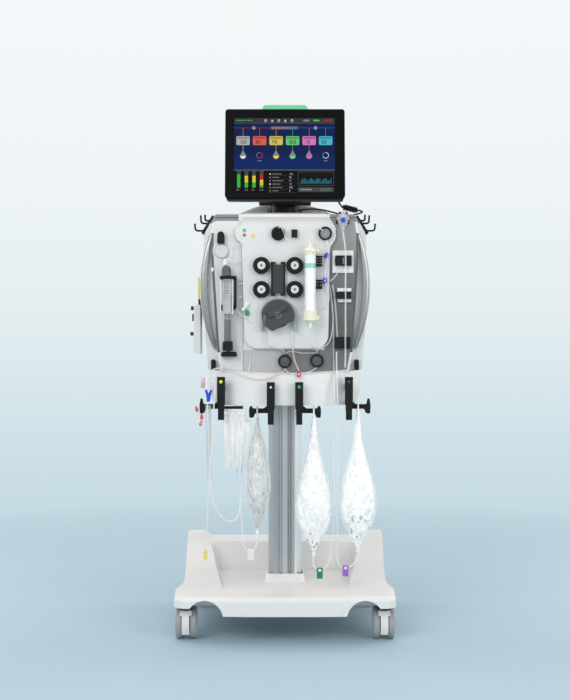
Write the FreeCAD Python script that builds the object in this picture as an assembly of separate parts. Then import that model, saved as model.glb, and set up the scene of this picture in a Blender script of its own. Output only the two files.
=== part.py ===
"""Free-standing dialysis machine on a wheeled base, with pumps, scales and a display.

Millimetres. X runs to the viewer's right, Y to the rear, Z up. The origin is on the
floor at the centre of the base. Each named solid or group is one file in parts/.
"""
import FreeCAD, Part
import math
import os

V = FreeCAD.Vector

# Running and assembly clearances
FIT = 0.3
RUN = 0.05
GAP = 2.0

# Base tray, casters and column
BASE_HALF_WIDTH = 326.0
BASE_HALF_DEPTH = 300.0
BASE_WAIST = BASE_HALF_WIDTH - 19.0
BASE_REAR_HALF = BASE_HALF_WIDTH - 5.0
SKIRT_BOTTOM = 83.0
DECK_Z = 138.0
DECK_THICK = 10.0
ARM_TOP = 250.0
ARM_INNER_X = BASE_HALF_WIDTH - 97.0
REAR_WALL_TOP = 226.0
REAR_WALL_Y = BASE_HALF_DEPTH - 157.0
TRAY_WALL = 12.0
ARCH_OUTER_X = BASE_HALF_WIDTH - 49.0
ARCH_INNER_X = BASE_HALF_WIDTH - 146.0
ARCH_RISE = 44.0
CHASSIS_TOP = DECK_Z - DECK_THICK
CHASSIS_HALF = 200.0
CASTER_X = BASE_HALF_WIDTH - 34.0
CASTER_FRONT_Y = -BASE_HALF_DEPTH + 70.0
CASTER_REAR_Y = BASE_HALF_DEPTH - 78.0
CASTER_SWEEP = 84.0
CASTER_TRAIL = 26.0
CASTER_HEIGHT = 103.0
WHEEL_R = 47.0
WHEEL_WIDTH = 18.0
WHEEL_INNER_X = 12.5
AXLE_R = 5.0
STEM_R = 8.0
STEM_LENGTH = 16.0
COLUMN_HALF_WIDTH = 51.5
COLUMN_FRONT_Y = -55.0
COLUMN_REAR_Y = 65.0
CUFF_HEIGHT = 24.0
CUFF_SPREAD = 12.0
CUFF_LIP = 4.5

# Machine body
BODY_FRONT_Y = -120.0
BODY_REAR_Y = 165.0
BODY_BOTTOM = 690.0
BODY_TOP = 1266.0
BODY_WALL = 4.0
BODY_HALF_WIDTH = 250.0
BODY_REAR_ROUND = 32.0
FLANGE_THICK = 6.0
FRAME_FRONT_Y = -172.0
FRAME_WALL = 5.0
SIDE_PANEL_THICK = 4.0
PUMP_PANEL_THICK = 18.0
PANEL_BACK = FRAME_FRONT_Y
PANEL_FACE = FRAME_FRONT_Y - PUMP_PANEL_THICK
SIDE_FACE = FRAME_FRONT_Y - SIDE_PANEL_THICK
PANEL_LEFT_X = -121.0
PANEL_RIGHT_X = 129.0
PANEL_LOW = 859.0
PANEL_TOP = BODY_TOP - 13.5
EAR_LOW = 1190.0
EAR_TOP = 1222.0
LEAF_INSET = 8.0
LEAF_SEAM = 7.0
LEAF_TOP = BODY_TOP - 24.0
LEAF_SPLIT_X = -125.0
BAND_FRONT_Y = -205.0
BAND_SIDE_Y = -140.0
BAND_HALF_WIDTH = 232.0
BAND_TOP_CENTRE = 781.0
BAND_TOP_SIDE = 800.0
SHELL_HALF_WIDTH = 258.5
SHELL_FRONT_Y = -148.0
SHELL_REAR_Y = 128.0
COVER_HALF_WIDTH = 165.0
COVER_PEAK = 1322.0
COVER_FRONT_Y = 15.0
COVER_REAR_Y = 150.0
WARMER_SEAT_X = SHELL_HALF_WIDTH + 0.6

# Rear wall
INLET_X = -130.0
INLET_Z = 742.0
BOND_X = -88.0
BOND_R = 3.0
BOND_LENGTH = 14.0
HANDLE_Z = 1150.0
HANDLE_REACH = 44.0
HANDLE_HALF = 150.0
HANDLE_D = 24.0

# Inner chassis
FLOOR_PLATE = 12.0
SPINE_X = 90.0
SPINE_THICK = 6.0
MOTOR_PLATE_THICK = 8.0
MOTOR_PLATE_BOTTOM = 812.0
MOTOR_PLATE_TOP = 1236.0
SHELF_Z = 800.0

# Pumps
PUMP_CENTRE_X = -20.5
FLUID_PUMP_PITCH_X = 99.3
FLUID_PUMP_TOP_Z = 1106.5
FLUID_PUMP_LOW_Z = 1035.0
FLUID_RING_R = 25.3
FLUID_ROTOR_R = 19.5
FLUID_RING_DEPTH = 15.0
BLOOD_PUMP_Z = 957.0
BLOOD_RING_R = 53.0
BLOOD_ROTOR_R = 48.0
BLOOD_RING_DEPTH = 18.0
ROLLER_R = 10.0
SHAFT_R = 4.0
ROTOR_GAP = 0.6
MOTOR_R = 24.0
BLOOD_MOTOR_R = 36.0
MOTOR_FRONT_Y = FRAME_FRONT_Y + FRAME_WALL + 4.0

# Filter, syringe and chamber
FILTER_X = 74.4
FILTER_Y = -222.0
FILTER_R = 16.6
FILTER_LOW = 971.5
FILTER_HIGH = 1136.7
UPPER_HEADER = 24.0
LOWER_HEADER = 36.0
PORT_LENGTH = 18.0
SYRINGE_X = -170.5
SYRINGE_Y = -206.0
SYRINGE_R = 15.5
SYRINGE_WALL = 1.5
SYRINGE_LOW = 962.0
SYRINGE_HIGH = 1065.0
PLUNGER_Z = 1007.0
PUSHER_FOOT = 851.0
CHAMBER_X = 172.0
CHAMBER_Y = -204.0
CHAMBER_LINE_X = 180.0
FILTER_GRIP_Z = ((1104.0, 1135.0), (1037.0, 1064.0))
POD_R = 20.3

# Scales: x of each bar, direction of its hook, x of its bag
SCALE_OUTER_X = 190.0
SCALE_INNER_X = 42.0
SCALE_BAR_WIDTH = 24.0
SCALE_BAR_DEPTH = 18.0
SCALE_BAR_TOP_OUTER = 775.0
SCALE_BAR_TOP_INNER = 760.0
BAR_FRONT_OUTER = -216.0
BAR_FRONT_INNER = -234.0
CLIP_REACH = 64.0
RAIL_WIDTH = 14.0
RAIL_HEIGHT = 22.0
RAIL_OUTER_Z = 744.0
RAIL_INNER_Z = 730.0
RAIL_REAR_Y = 100.0
GUIDE_FRONT_Y = -100.0
GUIDE_REAR_Y = -60.0
HOOK_Y = -178.0
HOOK_DEPTH = 12.0
HOOK_SEAT = 3.0
HOOK_HALF = 11.0
HOOK_REACH = 62.0
HOOK_OUTER_Z = 690.0
HOOK_INNER_Z = 677.0
TAIL_DROP = 43.0
PEG_R = 7.0
BAG_Y = HOOK_Y

# Bags: x, top, low end, half width and end of the outlet
SHEET_LEFT_X = -186.0
SHEET_RIGHT_X = -113.0
SHEET_TOP = 662.0
SHEET_LOW = 500.0
BAG_2 = (-82.7, HOOK_INNER_Z - 25.0, 322.0, 41.0, 302.0)
BAG_3 = (86.0, HOOK_INNER_Z - 22.0, 258.0, 58.0, 238.0)
BAG_4 = (218.0, HOOK_OUTER_Z - 28.0, 268.0, 59.0, 250.0)

# Display
TILT_AXIS_Y = -70.0
TILT_AXIS_Z = 1311.0
HINGE_R = 10.0
PIN_R = 5.0
MONITOR_HALF_WIDTH = 182.0
MONITOR_HEIGHT = 277.0
MONITOR_FRONT_Y = -150.0
MONITOR_BOTTOM_Z = 1315.0
MONITOR_LEAN = 7.0
BEZEL_DEPTH = 12.0
SCREEN_RECESS = 1.2
TURRET_R = 45.0
TURRET_TOP = 1304.0
BEACON_HEIGHT = 18.0
BEACON_HALF_WIDTH = 75.0

# Line diameters
LINE_D = 5.6
BAG_LINE_D = 6.0
LEAD_D = 5.0
CURL_D = 20.0
CURL_START = (226.0, -57.0, 1287.0)
CURL_END = (178.0, -57.0, 1299.0)
PLUG_HEIGHT = 17.0
PLUG_Z = BODY_TOP + 9.0


def box(x0, x1, y0, y1, z0, z1):
    return Part.makeBox(x1 - x0, y1 - y0, z1 - z0, V(x0, y0, z0))


def cyl(x, y, z, r, length, axis=(0, 0, 1)):
    return Part.makeCylinder(r, length, V(x, y, z), V(*axis))


def disc_y(x, z, r, y0, y1):
    """A cylinder along Y from y0 to y1."""
    return cyl(x, y0, z, r, y1 - y0, (0, 1, 0))


def ring_y(x, z, r_out, r_in, y0, y1):
    return disc_y(x, z, r_out, y0, y1).cut(disc_y(x, z, r_in, y0 - 1, y1 + 1))


def fuse(*shapes):
    return shapes[0].multiFuse(list(shapes[1:])).removeSplitter()


def cut(shape, *tools):
    for tool in tools:
        shape = shape.cut(tool)
    return shape


def mirror_x(shape):
    return shape.mirror(V(0, 0, 0), V(1, 0, 0))


def rounded(points, place):
    """A closed wire through corner points (u, v, radius) with tangent arcs."""
    count = len(points)
    edges = []
    ends = []
    for i in range(count):
        before = V(*points[i - 1][:2], 0)
        here = V(*points[i][:2], 0)
        after = V(*points[(i + 1) % count][:2], 0)
        radius = points[i][2]
        to_before = (before - here).normalize()
        to_after = (after - here).normalize()
        turn = math.pi - to_before.getAngle(to_after)
        if radius <= 0 or turn < 1e-4:
            ends.append((here, None, here))
            continue
        reach = radius * math.tan(turn / 2)
        middle = (to_before + to_after).normalize()
        drop = radius / math.cos(turn / 2) - radius
        ends.append((here + to_before * reach, here + middle * drop, here + to_after * reach))
    for i in range(count):
        start, middle, end = ends[i]
        if middle is not None:
            edges.append(Part.Arc(place(start), place(middle), place(end)).toShape())
        following = ends[(i + 1) % count][0]
        if end.distanceToPoint(following) > 1e-6:
            edges.append(Part.LineSegment(place(end), place(following)).toShape())
    return Part.Wire(edges)


def with_radius(points):
    return [p if len(p) == 3 else (p[0], p[1], 0) for p in points]


def outward(solid):
    """The same solid with its faces turned outwards."""
    return solid if solid.Volume > 0 else solid.reversed()


def prism_y(points, y0, y1):
    wire = rounded(with_radius(points), lambda p: V(p.x, y0, p.y))
    return outward(Part.Face(wire).extrude(V(0, y1 - y0, 0)))


def prism_x(points, x0, x1):
    wire = rounded(with_radius(points), lambda p: V(x0, p.x, p.y))
    return outward(Part.Face(wire).extrude(V(x1 - x0, 0, 0)))


def prism_z(points, z0, z1):
    wire = rounded(with_radius(points), lambda p: V(p.x, p.y, z0))
    return outward(Part.Face(wire).extrude(V(0, 0, z1 - z0)))


def both_sides(points):
    """Right-hand points from the bottom up, closed over to the left in mirror image."""
    left = [(-p[0],) + tuple(p[1:]) for p in reversed(points)]
    return list(points) + left


def inset_prism_y(points, amount, y0, y1):
    wire = rounded(with_radius(points), lambda p: V(p.x, y0, p.y))
    face = Part.Face(wire).makeOffset2D(-amount)
    return outward(face.extrude(V(0, y1 - y0, 0)))


def round_edges(shape, radius, wanted):
    return shape.makeFillet(radius, [e for e in shape.Edges if wanted(e)])


def lies_on(edge, axis, value):
    """True for an edge whose whole length has this x, y or z."""
    low = getattr(edge.BoundBox, axis.upper() + "Min")
    high = getattr(edge.BoundBox, axis.upper() + "Max")
    return abs(low - value) < 0.01 and abs(high - value) < 0.01


def route(points):
    """Straight runs joined by tangent arcs, each as large as its two runs allow."""
    points = [V(*p) for p in points]
    edges = []
    at = points[0]
    for i in range(1, len(points) - 1):
        here = points[i]
        back = points[i - 1] - here
        on = points[i + 1] - here
        shorter = min(back.Length, on.Length)
        turn = math.pi - back.getAngle(on)
        reach = 0.45 * shorter
        back.normalize()
        on.normalize()
        radius = reach / math.tan(turn / 2)
        drop = radius / math.cos(turn / 2) - radius
        start = here + back * reach
        middle = here + (back + on).normalize() * drop
        end = here + on * reach
        edges.append(Part.LineSegment(at, start).toShape())
        edges.append(Part.Arc(start, middle, end).toShape())
        at = end
    edges.append(Part.LineSegment(at, points[-1]).toShape())
    return Part.Wire(edges)


def tube(points, diameter):
    path = route(points)
    start = V(*points[0])
    direction = V(*points[1]) - start
    ring = Part.Wire(Part.makeCircle(diameter / 2, start, direction))
    return path.makePipeShell([ring], True, False)


def report_line(name, points, diameter):
    """Print a line's length, its tightest bend and its volume against section times length."""
    wire = route(points)
    bends = [e.Curve.Radius for e in wire.Edges if e.Curve.TypeId == "Part::GeomCircle"]
    section = math.pi * diameter ** 2 / 4
    share = tube(points, diameter).Volume / (section * wire.Length)
    print("%-16s length %7.1f  tightest bend %5.1f  volume ratio %.3f"
          % (name, wire.Length, min(bends), share))


# Outlines

BODY_OUTLINE = both_sides([
    (212, BODY_BOTTOM, 16), (227, 722, 90), (234, 800, 300), (243, 900, 380),
    (BODY_HALF_WIDTH, 1075, 700), (247, 1205, 60), (214, BODY_TOP, 34)])

FRAME_OUTLINE = both_sides([
    (188, 770, 0), (205, 860, 240), (222, 1130, 420), (222, 1200, 120), (214, BODY_TOP - 3, 12)])


def band_arc(offset):
    """The block below the arched seam between the front frame and the scale housing."""
    y0 = BAND_FRONT_Y - 20
    side = BAND_HALF_WIDTH + 30
    left = V(-side, y0, BAND_TOP_SIDE + offset)
    crown = V(0, y0, BAND_TOP_CENTRE + offset)
    right = V(side, y0, BAND_TOP_SIDE + offset)
    low = BODY_BOTTOM - 50
    edges = [Part.Arc(left, crown, right).toShape(),
             Part.LineSegment(right, V(side, y0, low)).toShape(),
             Part.LineSegment(V(side, y0, low), V(-side, y0, low)).toShape(),
             Part.LineSegment(V(-side, y0, low), left).toShape()]
    return outward(Part.Face(Part.Wire(edges)).extrude(V(0, 400, 0)))


# Base

TRAY_PLAN = both_sides([
    (0.34 * BASE_HALF_WIDTH, -BASE_HALF_DEPTH, 500), (BASE_HALF_WIDTH, -BASE_HALF_DEPTH + 15, 38),
    (BASE_HALF_WIDTH, -0.607 * BASE_HALF_DEPTH, 60), (BASE_WAIST, -0.4 * BASE_HALF_DEPTH, 160),
    (BASE_WAIST + 6, 0.067 * BASE_HALF_DEPTH, 300), (BASE_REAR_HALF, 0.6 * BASE_HALF_DEPTH, 300),
    (BASE_REAR_HALF, BASE_HALF_DEPTH, 45)])


def caster_places():
    return [("front_left", -CASTER_X, CASTER_FRONT_Y), ("front_right", CASTER_X, CASTER_FRONT_Y),
            ("rear_left", -CASTER_X, CASTER_REAR_Y), ("rear_right", CASTER_X, CASTER_REAR_Y)]


def deck_recess():
    """The tapered recess between the two side arms and the rear wall."""
    slope = 21.0
    top = ARM_TOP + 12
    front = -BASE_HALF_DEPTH - 40

    def outline(z):
        grow = slope * (z - DECK_Z) / (top - DECK_Z)
        points = both_sides([(ARM_INNER_X - 64 + grow, front, 0),
                             (ARM_INNER_X + grow, REAR_WALL_Y + 0.8 * grow, 34)])
        return rounded(points, lambda p: V(p.x, p.y, z))
    return Part.makeLoft([outline(DECK_Z - 8), outline(top)], True, True)


def base_tray():
    plan = prism_z(TRAY_PLAN, SKIRT_BOTTOM, DECK_Z)
    plan = round_edges(plan, 16, lambda e: lies_on(e, "z", DECK_Z))
    low = DECK_Z - 18
    depth = BASE_HALF_DEPTH
    side = [(-depth + 55, low, 0), (-depth + 86, DECK_Z - 2, 60), (-0.367 * depth, DECK_Z + 10, 200),
            (0.067 * depth, DECK_Z + 34, 160), (0.4 * depth, ARM_TOP - 16, 160),
            (0.633 * depth, ARM_TOP, 80), (depth - 45, ARM_TOP, 40), (depth, ARM_TOP - 18, 30),
            (depth, low, 0)]
    arms = prism_x(side, -BASE_HALF_WIDTH - 10, BASE_HALF_WIDTH + 10)
    arms = arms.common(prism_z(TRAY_PLAN, low, ARM_TOP + 5)).cut(deck_recess())
    dip = both_sides([(ARM_INNER_X + 20, REAR_WALL_TOP, 18), (ARM_INNER_X + 46, ARM_TOP + 1, 12),
                      (ARM_INNER_X + 60, ARM_TOP + 10, 0)])
    arms = arms.cut(prism_y(dip, REAR_WALL_Y - 60, depth + 5))
    tray = fuse(plan, arms)
    pocket = Part.Face(rounded(TRAY_PLAN, lambda p: V(p.x, p.y, SKIRT_BOTTOM - 5)))
    pocket = pocket.makeOffset2D(-TRAY_WALL)
    pocket = outward(pocket.extrude(V(0, 0, DECK_Z - DECK_THICK - SKIRT_BOTTOM + 5)))
    tray = tray.cut(pocket)

    def cuff(spread, ahead, corner, z):
        half = COLUMN_HALF_WIDTH + spread
        front = COLUMN_FRONT_Y - ahead
        rear = COLUMN_REAR_Y + spread
        points = [(-half, front, corner), (half, front, corner), (half, rear, corner), (-half, rear, corner)]
        return rounded(points, lambda p: V(p.x, p.y, z))
    wires = [cuff(CUFF_SPREAD, 2 * CUFF_SPREAD, 20, DECK_Z - 1),
             cuff(CUFF_LIP, CUFF_LIP, 14, DECK_Z + CUFF_HEIGHT)]
    tray = fuse(tray, Part.makeLoft(wires, True, True))
    column_way = box(-COLUMN_HALF_WIDTH - FIT, COLUMN_HALF_WIDTH + FIT, COLUMN_FRONT_Y - FIT,
                     COLUMN_REAR_Y + FIT, SKIRT_BOTTOM, DECK_Z + CUFF_HEIGHT + 5)
    tray = tray.cut(column_way)
    for name, x, y in caster_places():
        tray = tray.cut(cyl(x, y, SKIRT_BOTTOM - 20, CASTER_SWEEP, CASTER_HEIGHT + 21 - SKIRT_BOTTOM))
    for side_sign in (-1, 1):
        inner = V(side_sign * ARCH_INNER_X, 0, SKIRT_BOTTOM - 1)
        crown = V(side_sign * (ARCH_INNER_X + 46), 0, SKIRT_BOTTOM + ARCH_RISE)
        outer = V(side_sign * ARCH_OUTER_X, 0, CASTER_HEIGHT + 1)
        corner = V(side_sign * ARCH_OUTER_X, 0, SKIRT_BOTTOM - 1)
        arch = Part.Wire([Part.Arc(inner, crown, outer).toShape(),
                          Part.LineSegment(outer, corner).toShape(),
                          Part.LineSegment(corner, inner).toShape()])
        for y in (-BASE_HALF_DEPTH - 10, BASE_HALF_DEPTH - 60):
            face = Part.Face(arch)
            face.translate(V(0, y, 0))
            tray = tray.cut(outward(face.extrude(V(0, 70, 0))))
    return tray


def base_chassis():
    half = CHASSIS_HALF
    front = CASTER_FRONT_Y - 20
    rear = CASTER_REAR_Y + 18
    plate = box(-half, half, front, rear, CHASSIS_TOP - 5, CHASSIS_TOP)
    parts = [plate, box(-40, 40, front + 10, rear - 10, CHASSIS_TOP - 32, CHASSIS_TOP - 5)]
    for y in (CASTER_FRONT_Y, CASTER_REAR_Y):
        parts.append(box(-CASTER_X, CASTER_X, y - 16, y + 16, CASTER_HEIGHT + 1, CHASSIS_TOP))
        parts.append(box(-half, half, y - 18, y + 18, CHASSIS_TOP - 32, CHASSIS_TOP))
    for name, x, y in caster_places():
        parts.append(cyl(x, y, CASTER_HEIGHT + 1, 16, CHASSIS_TOP - CASTER_HEIGHT - 1))
    chassis = fuse(*parts)
    for name, x, y in caster_places():
        chassis = chassis.cut(cyl(x, y, CASTER_HEIGHT, STEM_R + RUN, STEM_LENGTH + 2))
    return chassis


def caster_fork(x, y):
    """Hooded fork: a web between the wheels, a fender over them and a swivel stem."""
    centre = y + CASTER_TRAIL
    half_web = WHEEL_INNER_X - 1.5
    hub = cyl(x - half_web, centre, WHEEL_R, 16, 2 * half_web, (1, 0, 0))
    outer = WHEEL_R + 6

    def sector(r_in, r_out, half, low, high):
        """A ring sector about the wheel axis, with angles measured up from the front."""
        def at(radius, angle):
            a = math.radians(angle)
            return V(x - half, centre - radius * math.cos(a), WHEEL_R + radius * math.sin(a))
        mid = (low + high) / 2
        edges = [Part.Arc(at(r_out, low), at(r_out, mid), at(r_out, high)).toShape(),
                 Part.LineSegment(at(r_out, high), at(r_in, high)).toShape(),
                 Part.Arc(at(r_in, high), at(r_in, mid), at(r_in, low)).toShape(),
                 Part.LineSegment(at(r_in, low), at(r_out, low)).toShape()]
        return outward(Part.Face(Part.Wire(edges)).extrude(V(2 * half, 0, 0)))
    web = sector(14, outer, half_web, -32, 128)
    hood = sector(WHEEL_R + 2, outer + 1, 17.5, 32, 112)
    collar = cyl(x, y, 88, 16, CASTER_HEIGHT - 88)
    stem = cyl(x, y, CASTER_HEIGHT - 2, STEM_R, STEM_LENGTH + 2)
    fork = fuse(hub, web, hood, collar)
    wheel_space = cyl(x - 40, centre, WHEEL_R, WHEEL_R + 1.5, 40 - half_web, (1, 0, 0))
    other_space = cyl(x + half_web, centre, WHEEL_R, WHEEL_R + 1.5, 40 - half_web, (1, 0, 0))
    fork = cut(fork, wheel_space, other_space)
    fork = fork.cut(cyl(x - 30, centre, WHEEL_R, AXLE_R + RUN, 60, (1, 0, 0)))
    return fuse(fork, stem)


def caster_wheels(x, y):
    centre = y + CASTER_TRAIL
    parts = [cyl(x - WHEEL_INNER_X - 1, centre, WHEEL_R, AXLE_R, 2 * WHEEL_INNER_X + 2, (1, 0, 0))]
    for side in (-1, 1):
        start = x + (WHEEL_INNER_X if side > 0 else -WHEEL_INNER_X - WHEEL_WIDTH)
        disc = cyl(start, centre, WHEEL_R, WHEEL_R, WHEEL_WIDTH, (1, 0, 0))
        disc = round_edges(disc, 4, lambda e: e.Closed and e.Curve.TypeId == "Part::GeomCircle")
        outer_face = x + side * (WHEEL_INNER_X + WHEEL_WIDTH)
        dish = Part.makeCone(26, 32, 5, V(outer_face - side * 5, centre, WHEEL_R), V(side, 0, 0))
        parts.append(disc.cut(dish))
    return fuse(*parts)


# Column

def column():
    """An extruded profile: flat centre rib, two flutes and chamfered corners."""
    w = COLUMN_HALF_WIDTH
    f = COLUMN_FRONT_Y
    r = COLUMN_REAR_Y
    outline = both_sides([
        (9, f, 0), (11, f + 4, 0), (17, f + 4, 0), (19, f, 0), (w - 16, f, 0), (w, f + 14, 3),
        (w, -14, 0), (w - 4, -12, 0), (w - 4, -4, 0), (w, -2, 0), (w, 16, 0), (w - 4, 18, 0),
        (w - 4, 26, 0), (w, 28, 0), (w, r - 10, 3), (w - 10, r, 3)])
    profile = prism_z(outline, CHASSIS_TOP, BODY_BOTTOM + BODY_WALL)
    core = [(-36, f + 16, 6), (36, f + 16, 6), (36, r - 12, 6), (-36, r - 12, 6)]
    return profile.cut(prism_z(core, CHASSIS_TOP - 1, BODY_BOTTOM + BODY_WALL + 1))


# Body

def rear_housing():
    outer = prism_y(BODY_OUTLINE, BODY_FRONT_Y, BODY_REAR_Y)
    outer = round_edges(outer, 14, lambda e: lies_on(e, "y", BODY_REAR_Y))
    inner = inset_prism_y(BODY_OUTLINE, BODY_WALL, BODY_FRONT_Y - 1, BODY_REAR_Y - BODY_WALL)
    inner = round_edges(inner, 10, lambda e: lies_on(e, "y", BODY_REAR_Y - BODY_WALL))
    shell = outer.cut(inner)
    way = box(-COLUMN_HALF_WIDTH - FIT, COLUMN_HALF_WIDTH + FIT, COLUMN_FRONT_Y - FIT,
              COLUMN_REAR_Y + FIT, BODY_BOTTOM - 5, BODY_BOTTOM + BODY_WALL + 1)
    neck_way = cyl(0, 0, BODY_TOP - 10, 30 + FIT, 20)
    shell = cut(shell, way, neck_way)
    for i in range(9):
        z = 960 + 18 * i
        slot = [(-70, z, 3), (70, z, 3), (70, z + 6.4, 3), (-70, z + 6.4, 3)]
        shell = shell.cut(prism_y(slot, BODY_REAR_Y - 10, BODY_REAR_Y + 5))
    inlet = box(INLET_X - 14, INLET_X + 14, BODY_REAR_Y - 10, BODY_REAR_Y + 5,
                INLET_Z - 12, INLET_Z + 12)
    bond = disc_y(BOND_X, INLET_Z, 5, BODY_REAR_Y - 10, BODY_REAR_Y + 5)
    return cut(shell, inlet, bond)


def rear_inlets():
    """Mains inlet in a recess of the rear wall and a bonding pin beside it."""
    face = BODY_REAR_Y
    block = box(INLET_X - 13.7, INLET_X + 13.7, face - 26, face, INLET_Z - 11.7, INLET_Z + 11.7)
    block = block.cut(box(INLET_X - 12, INLET_X + 12, face - 20, face + 1,
                          INLET_Z - 8, INLET_Z + 8))
    parts = [block]
    for dx in (-7, 0, 7):
        parts.append(box(INLET_X + dx - 1, INLET_X + dx + 1, face - 21, face - 4,
                         INLET_Z - 2, INLET_Z + 2))
    inlet = fuse(*parts)
    plate = disc_y(BOND_X, INLET_Z, 4.7, face - 8, face + 2)
    pin = disc_y(BOND_X, INLET_Z, BOND_R, face + 2, face + 2 + BOND_LENGTH)
    bond = fuse(plate, pin)
    return Part.makeCompound([inlet, bond])


def push_handle():
    """A tube handle on two feet across the rear wall."""
    z = HANDLE_Z
    y = BODY_REAR_Y + HANDLE_REACH
    half = HANDLE_HALF
    points = [(-half, BODY_REAR_Y, z), (-half, y, z), (half, y, z), (half, BODY_REAR_Y, z)]
    bar = tube(points, HANDLE_D)
    feet = [disc_y(s * half, z, 19, BODY_REAR_Y, BODY_REAR_Y + 6) for s in (-1, 1)]
    return fuse(bar, *feet)


def side_shell():
    """A curved metal cover over the right side of the rear housing."""
    y0 = SHELL_FRONT_Y
    top_out = V(231, y0, 1206)
    top_in = V(222, y0, 1200)
    low_in = V(209, y0, 862)
    low_out = V(216, y0, 858)
    edges = [Part.Arc(top_out, V(SHELL_HALF_WIDTH, y0, 1060), low_out).toShape(),
             Part.LineSegment(low_out, low_in).toShape(),
             Part.Arc(low_in, V(236, y0, 1040), top_in).toShape(),
             Part.LineSegment(top_in, top_out).toShape()]
    leaf = outward(Part.Face(Part.Wire(edges)).extrude(V(0, SHELL_REAR_Y - y0, 0)))

    def outer_front(e):
        box_of_it = e.BoundBox
        return lies_on(e, "y", y0) and box_of_it.XMax > SHELL_HALF_WIDTH - 6 and box_of_it.ZLength > 100
    leaf = round_edges(leaf, 12, outer_front)
    shell = leaf.cut(prism_y(BODY_OUTLINE, BODY_FRONT_Y - FLANGE_THICK, SHELL_REAR_Y + 5))
    return shell.cut(prism_y(FRAME_OUTLINE, y0 - 5, BODY_FRONT_Y))


def front_frame():
    """The white front: a flange that closes the rear housing and the raised front box."""
    above_band = band_arc(0)
    flange = prism_y(BODY_OUTLINE, BODY_FRONT_Y - FLANGE_THICK, BODY_FRONT_Y)
    raised = prism_y(FRAME_OUTLINE, FRAME_FRONT_Y, BODY_FRONT_Y)
    raised = round_edges(raised, 4, lambda e: lies_on(e, "y", FRAME_FRONT_Y))
    frame = fuse(flange, raised).cut(above_band)
    hollow = inset_prism_y(FRAME_OUTLINE, FRAME_WALL, FRAME_FRONT_Y + FRAME_WALL, BODY_FRONT_Y + 1)
    frame = frame.cut(hollow.cut(band_arc(FRAME_WALL)))
    for x, z, r in pump_axes():
        frame = frame.cut(disc_y(x, z, SHAFT_R + 3, FRAME_FRONT_Y - 5, BODY_FRONT_Y))
    return frame


def pump_axes():
    """Centre x, z and motor radius of the blood pump and of the four fluid pumps."""
    half = FLUID_PUMP_PITCH_X / 2
    axes = [(PUMP_CENTRE_X, BLOOD_PUMP_Z, BLOOD_MOTOR_R)]
    for z in (FLUID_PUMP_TOP_Z, FLUID_PUMP_LOW_Z):
        axes.append((PUMP_CENTRE_X - half, z, MOTOR_R))
        axes.append((PUMP_CENTRE_X + half, z, MOTOR_R))
    return axes


PANEL_OUTLINE = [
    (PANEL_LEFT_X, PANEL_LOW, 40), (PANEL_RIGHT_X, PANEL_LOW, 40), (PANEL_RIGHT_X + 5, EAR_LOW - 30, 40),
    (PANEL_RIGHT_X + 23, EAR_LOW - 2, 26), (PANEL_RIGHT_X + 23, EAR_TOP, 26),
    (PANEL_RIGHT_X + 3, PANEL_TOP, 14), (PANEL_LEFT_X - 10, PANEL_TOP, 14),
    (PANEL_LEFT_X - 10, EAR_TOP + 6, 5), (PANEL_LEFT_X - 29, EAR_TOP - 6, 20),
    (PANEL_LEFT_X - 29, EAR_LOW, 20), (PANEL_LEFT_X - 9, EAR_LOW - 18, 10)]


def pump_panel():
    panel = prism_y(PANEL_OUTLINE, PANEL_FACE, PANEL_BACK)
    panel = round_edges(panel, 2.5, lambda e: lies_on(e, "y", PANEL_FACE))
    for x, z, r in pump_axes():
        panel = panel.cut(disc_y(x, z, SHAFT_R + 3, PANEL_FACE - 5, PANEL_BACK + 5))
    return panel


def panel_space():
    """The pump panel's outline grown by a seam, which the side panels leave free."""
    wire = rounded(with_radius(PANEL_OUTLINE), lambda p: V(p.x, SIDE_FACE - 5, p.y))
    return outward(Part.Face(wire).makeOffset2D(1.0).extrude(V(0, SIDE_PANEL_THICK + 10, 0)))


def front_leaf(x0, x1):
    """The frame's front face between two x, held back from its edges and the arched seam."""
    leaf = inset_prism_y(FRAME_OUTLINE, LEAF_INSET, SIDE_FACE, PANEL_BACK)
    column_of_it = box(x0, x1, SIDE_FACE - 1, PANEL_BACK + 1, BODY_BOTTOM, LEAF_TOP)
    return leaf.common(column_of_it).cut(band_arc(LEAF_SEAM))


def syringe_panel():
    return front_leaf(-BODY_HALF_WIDTH, LEAF_SPLIT_X - GAP / 2).cut(panel_space())


def return_panel():
    """The dark plate under and to the right of the pump panel."""
    leaf = front_leaf(LEAF_SPLIT_X + GAP / 2, BODY_HALF_WIDTH)
    behind_pumps = box(LEAF_SPLIT_X - 1, PANEL_RIGHT_X - 9, SIDE_FACE - 1, PANEL_BACK + 1,
                       PANEL_LOW - 4, BODY_TOP)
    return leaf.cut(behind_pumps).cut(panel_space())


def band_plan(offset):
    """The bowed front of the scale housing, moved back by a wall thickness."""
    half = BAND_HALF_WIDTH - offset
    side = BAND_SIDE_Y + offset
    front = BAND_FRONT_Y + offset
    z = BODY_BOTTOM - 5
    back = BODY_FRONT_Y + (1 if offset else 0)
    edges = [Part.Arc(V(-half, side, z), V(0, front, z), V(half, side, z)).toShape(),
             Part.LineSegment(V(half, side, z), V(half - 4, back, z)).toShape(),
             Part.LineSegment(V(half - 4, back, z), V(-half + 4, back, z)).toShape(),
             Part.LineSegment(V(-half + 4, back, z), V(-half, side, z)).toShape()]
    return Part.Face(Part.Wire(edges))


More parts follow.
